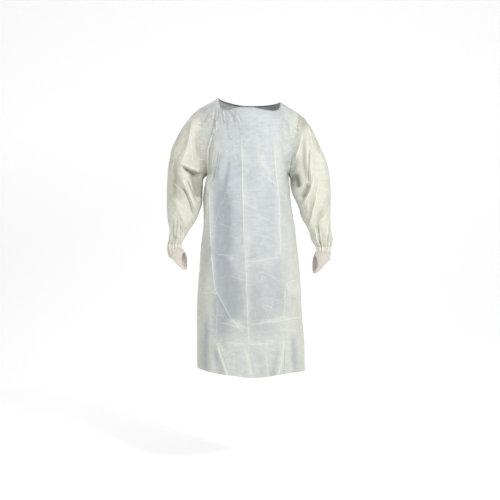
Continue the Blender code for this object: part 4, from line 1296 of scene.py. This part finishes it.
def tail(start, side, length):
    """A tie's free end, hanging beside the opening."""
    places = []
    stand_off = start[1] - torso_size("back", start[2])
    for part in np.linspace(0.0, 1.0, TAIL_STEPS + 1)[1:]:
        height = start[2] - length * part
        rest = stand_off + (TAIL_STAND_OFF - stand_off) * part
        drift = side * TAIL_DRIFT * part**TAIL_DRIFT_CURVE
        places.append(np.array([start[0] + drift, torso_size("back", height) + rest, height]))
    return places


def tie(name, side, outer, in_knot, knot_facings):
    """One tie: flat on its back panel, narrowed through the knot, then hanging free."""
    on_back, facings = strap_on_back(side, outer)
    places = on_back + in_knot + tail(in_knot[-1], -side, TIE_TAILS[name])
    facings = facings + knot_facings + [np.array([0.0, 1.0, 0.0])] * TAIL_STEPS
    shares = [1.0] * (len(on_back) - 1) + [TIE_PINCH] + [KNOT_PINCH] * len(in_knot)
    shares += [min(1.0, TAIL_PINCH + TAIL_OPENING * step) for step in range(TAIL_STEPS)]
    half_depths = [TIE_WALL / 2] * len(on_back)
    half_depths += [KNOT_HALF_DEPTH] * len(in_knot) + [TIE_WALL / 2] * TAIL_STEPS
    ribbon(name, places, facings, TIE_HALF_WIDTH * np.array(shares), half_depths)


def waist_ties(right_back, left_back):
    """Two straps across the opening, tied in a plain half knot with hanging ends."""
    edge = (left_back[TIE_ROW, -1] + left_back[TIE_ROW + TIE_ROWS, -1]) / 2
    knot = np.array([0.0, edge[1] + KNOT_STAND_OFF, edge[2]])

    through_loop = [knot + np.array([x, 0.0, -drop]) for x, drop in zip(*KNOT_CORE.values())]
    facings = [np.array([0.0, 1.0, 0.0])] * len(through_loop)
    tie("waist_tie_left", 1.0, left_back, through_loop, facings)

    turns = np.linspace(LOOP_START, LOOP_END, LOOP_STEPS)
    facings = [np.array([math.cos(turn), math.sin(turn), 0.0]) for turn in turns]
    drops = np.linspace(LOOP_TOP, LOOP_FOOT, LOOP_STEPS)
    down = np.array([0.0, 0.0, -1.0])
    loop = [knot + facing * LOOP_RADIUS + down * drop for facing, drop in zip(facings, drops)]
    tie("waist_tie_right", -1.0, right_back, loop, facings)


class Shading:
    """The nodes of one material, and short ways to add to them."""

    def __init__(self, name):
        self.material = bpy.data.materials.new(name)
        self.material.use_nodes = True
        self.nodes = self.material.node_tree.nodes
        self.links = self.material.node_tree.links
        self.place = self.nodes.new("ShaderNodeTexCoord").outputs["Object"]

    def feed(self, socket, value):
        """Set a socket to a number or a colour, or link another one to it."""
        if isinstance(value, float):
            socket.default_value = value
        elif isinstance(value, tuple):
            socket.default_value = value + (1.0,)
        else:
            self.links.new(value, socket)

    def scaled(self, scale):
        """Places on the cloth, scaled by a number for each axis."""
        node = self.nodes.new("ShaderNodeMapping")
        node.inputs["Scale"].default_value = scale
        self.links.new(self.place, node.inputs["Vector"])
        return node.outputs["Vector"]

    def texture(self, kind, per_metre, settings, place=None):
        """A noise or a pattern of cells over the cloth."""
        node = self.nodes.new("ShaderNodeTex" + kind)
        node.inputs["Scale"].default_value = per_metre
        for key, value in settings.items():
            node.inputs[key].default_value = value
        self.links.new(self.place if place is None else place, node.inputs["Vector"])
        return node

    def attribute(self, name):
        """A value that the mesh holds at each point."""
        node = self.nodes.new("ShaderNodeAttribute")
        node.attribute_name = name
        return node.outputs["Fac"]

    def maths(self, operation, *values):
        """One operation on numbers or sockets."""
        node = self.nodes.new("ShaderNodeMath")
        node.operation = operation
        for socket, value in zip(node.inputs, values):
            self.feed(socket, value)
        return node.outputs[0]

    def spread(self, socket, low, high):
        """A value from low to high read as 0 to 1."""
        node = self.nodes.new("ShaderNodeMapRange")
        node.inputs["From Min"].default_value = low
        node.inputs["From Max"].default_value = high
        self.links.new(socket, node.inputs["Value"])
        return node.outputs["Result"]

    def blend(self, share, first, second, way="MIX"):
        """Two colours mixed by a share, or another way."""
        node = self.nodes.new("ShaderNodeMix")
        node.data_type = "RGBA"
        node.blend_type = way
        for place, value in ((0, share), (6, first), (7, second)):
            self.feed(node.inputs[place], value)
        return node.outputs[2]

    def bump(self, height, distance, normal):
        """The surface's direction, turned by a height that is laid on it."""
        node = self.nodes.new("ShaderNodeBump")
        node.inputs["Distance"].default_value = distance
        self.links.new(height, node.inputs["Height"])
        if normal is not None:
            self.links.new(normal, node.inputs["Normal"])
        return node.outputs["Normal"]

    def finished(self, settings):
        """The material, with its shader set."""
        shader = self.nodes["Principled BSDF"]
        for key, value in settings.items():
            self.feed(shader.inputs[key], value)
        return self.material


def tone(colour, factor):
    """A colour made darker or lighter."""
    return tuple(min(1.0, part * factor) for part in colour)


def fibre_mottle(made):
    """How light the cloth is between 0 and 1: clouds of fibre, with streaks and threads across."""
    flattened = made.scaled(STREAK_SCALE)
    clouds = made.texture("Noise", CLOUDS_PER_METRE, CLOUD_NOISE).outputs["Fac"]
    streaks = made.texture("Noise", STREAKS_PER_METRE, STREAK_NOISE, flattened).outputs["Fac"]
    threads = made.texture("Noise", THREADS_PER_METRE, THREAD_NOISE, flattened).outputs["Fac"]
    across = made.maths("ADD", streaks, threads)
    total = made.maths("ADD", made.maths("MULTIPLY", clouds, CLOUD_SHARE), across)
    return made.spread(total, MOTTLE_LOW, MOTTLE_HIGH)


def crease_web(made):
    """A web of fine creases in patches, 1 on a crease, which takes a painted highlight and a bump."""
    webs = []
    for per_metre, half_width, low, high in WEBS:
        cells = made.texture("Voronoi", per_metre, WEB_CELLS)
        cells.feature = "DISTANCE_TO_EDGE"
        patches = made.texture("Noise", per_metre * PATCH_SHARE, PATCH_NOISE).outputs["Fac"]
        edge = made.spread(cells.outputs["Distance"], half_width * per_metre, 0.0)
        webs.append(made.maths("MULTIPLY", edge, made.spread(patches, low, high)))
    return made.maths("MAXIMUM", *webs)


def narrow_creases(made):
    """The narrow creases: up to 1 on a ridge, which takes a painted highlight, down to -1 in troughs,
    which take painted shade.
    """
    offset = made.maths("DIVIDE", made.attribute("across"), LINE_HALF_WIDTH)
    squared = made.maths("MULTIPLY", offset, offset)
    narrowed = made.maths("EXPONENT", made.maths("MULTIPLY", squared, -1.0))
    return made.maths("MULTIPLY", narrowed, made.attribute("crease"))


def cloth(name, colour, hollow_shade, trough_shade, sheen, weave_depth):
    """Thin bonded nonwoven: mottled fibres, sharp fine wrinkles and small bond points, with painted
    highlight and shade on its folds and creases.
    """
    made = Shading(name)
    mottle, web, line = fibre_mottle(made), crease_web(made), narrow_creases(made)
    fold = made.attribute("fold")
    fibres = made.texture("Noise", FIBRES_PER_METRE, FIBRE_NOISE).outputs["Fac"]
    bonds = made.texture("Voronoi", BONDS_PER_METRE, BOND_CELLS).outputs["Distance"]
    wrinkles = made.texture("Noise", WRINKLES_PER_METRE, WRINKLE_NOISE)
    wrinkles.noise_type = "RIDGED_MULTIFRACTAL"

    warm = made.blend(mottle, tone(colour, DARK_TONE), tone(colour, LIGHT_TONE))
    cool = made.blend(mottle, tone(COOL, COOL_DARK_TONE), tone(COOL, LIGHT_TONE))
    look = made.blend(made.attribute("cool"), warm, cool)
    fibrous = made.blend(made.spread(fibres, FIBRE_LOW, FIBRE_HIGH), tone(WHITE, FIBRE_TONE), WHITE)
    look = made.blend(1.0, look, fibrous, "MULTIPLY")
    # Painted highlight on fold crests, web and crease ridges; painted shade in fold hollows and
    # crease troughs
    for height, full, shade in (
        (fold, CREST_HIGHLIGHT_REACH, tone(colour, CREST_HIGHLIGHT_TONE)),
        (fold, -HOLLOW_SHADE_REACH, hollow_shade),
        (web, WEB_REACH, RIDGE),
        (line, 1.0, RIDGE),
        (line, -1.0, tone(colour, trough_shade)),
    ):
        look = made.blend(made.spread(height, 0.0, full), look, shade)

    normal = None
    for height, distance in (
        (line, LINE_DEPTH),
        (web, WEB_DEPTH),
        (wrinkles.outputs["Fac"], WRINKLE_DEPTH),
        (fibres, weave_depth),
        (bonds, weave_depth),
    ):
        normal = made.bump(height, distance, normal)
    return made.finished(
        {
            "Base Color": look,
            "Normal": normal,
            "Roughness": ROUGHNESS,
            "Specular IOR Level": SPECULAR,
            "Sheen Weight": sheen,
            "Sheen Roughness": SHEEN_ROUGHNESS,
        }
    )


def backdrop():
    """A pale floor that sweeps up behind."""
    profile = [(FLOOR_FRONT, 0.0), (FLOOR_BACK, 0.0)]
    for step in range(1, SWEEP_STEPS + 1):
        turn = math.pi / 2 * step / SWEEP_STEPS
        back, rise = math.sin(turn), 1.0 - math.cos(turn)
        profile.append((FLOOR_BACK + SWEEP_RADIUS * back, SWEEP_RADIUS * rise))
    profile.append((FLOOR_BACK + SWEEP_RADIUS, SWEEP_TOP))
    points = [(x, y, FLOOR + z) for y, z in profile for x in (-FLOOR_HALF_WIDTH, FLOOR_HALF_WIDTH)]
    faces = [(2 * step, 2 * step + 1, 2 * step + 3, 2 * step + 2) for step in range(len(profile) - 1)]
    mesh = bpy.data.meshes.new("backdrop")
    mesh.from_pydata(points, [], faces)
    mesh.shade_smooth()
    paper = {
        "Base Color": PAPER,
        "Roughness": PAPER_ROUGHNESS,
        "Emission Color": WHITE,
        "Emission Strength": PAPER_GLOW,
    }
    mesh.materials.append(Shading("paper").finished(paper))
    floor = bpy.data.objects.new("backdrop", mesh)
    bpy.context.scene.collection.objects.link(floor)


def lights():
    """Three soft lights and a pale surround."""
    for name, place, size, power in LIGHTS:
        lamp = bpy.data.lights.new(name, "AREA")
        lamp.size = size
        lamp.energy = power
        light = bpy.data.objects.new(name, lamp)
        light.location = place
        light.rotation_euler = (Vector(LIGHT_AIM) - Vector(place)).to_track_quat("-Z", "Y").to_euler()
        bpy.context.scene.collection.objects.link(light)
    surround = bpy.data.worlds.new("surround")
    surround.use_nodes = True
    background = surround.node_tree.nodes["Background"]
    background.inputs["Color"].default_value = WHITE + (1.0,)
    background.inputs["Strength"].default_value = SURROUND_STRENGTH
    bpy.context.scene.world = surround


def camera():
    """Level with the middle of the standing figure, as in the photograph."""
    lens = bpy.data.cameras.new("camera")
    lens.lens = CAMERA_LENS
    lens.sensor_width = CAMERA_SENSOR
    eye = bpy.data.objects.new("camera", lens)
    eye.location = CAMERA_PLACE
    eye.rotation_euler = (math.pi / 2, 0.0, 0.0)
    bpy.context.scene.collection.objects.link(eye)
    bpy.context.scene.camera = eye


CLOTHS = {slot: cloth(*look) for slot, look in CLOTH_LOOKS.items()}

right_back = back_grids(-1.0, RIGHT_ARM, RIGHT_NECK_POINT)
left_back = back_grids(1.0, LEFT_ARM, LEFT_NECK_POINT)
front_panel()
back_panel("back_right", -1.0, right_back)
back_panel("back_left", 1.0, left_back)
for word, side, arm, creases, lines in (
    ("right", -1.0, RIGHT_ARM, RIGHT_SLEEVE_CREASES, RIGHT_SLEEVE_LINES),
    ("left", 1.0, LEFT_ARM, LEFT_SLEEVE_CREASES, LEFT_SLEEVE_LINES),
):
    sleeve("sleeve_" + word, side, arm, creases, lines)
    wrist_band("wrist_band_" + word, side, arm)
    thumb_cuff("thumb_cuff_" + word, side, arm)
waist_ties(right_back[0], left_back[0])

backdrop()
lights()
camera()
bpy.context.scene.view_settings.view_transform = "Standard"
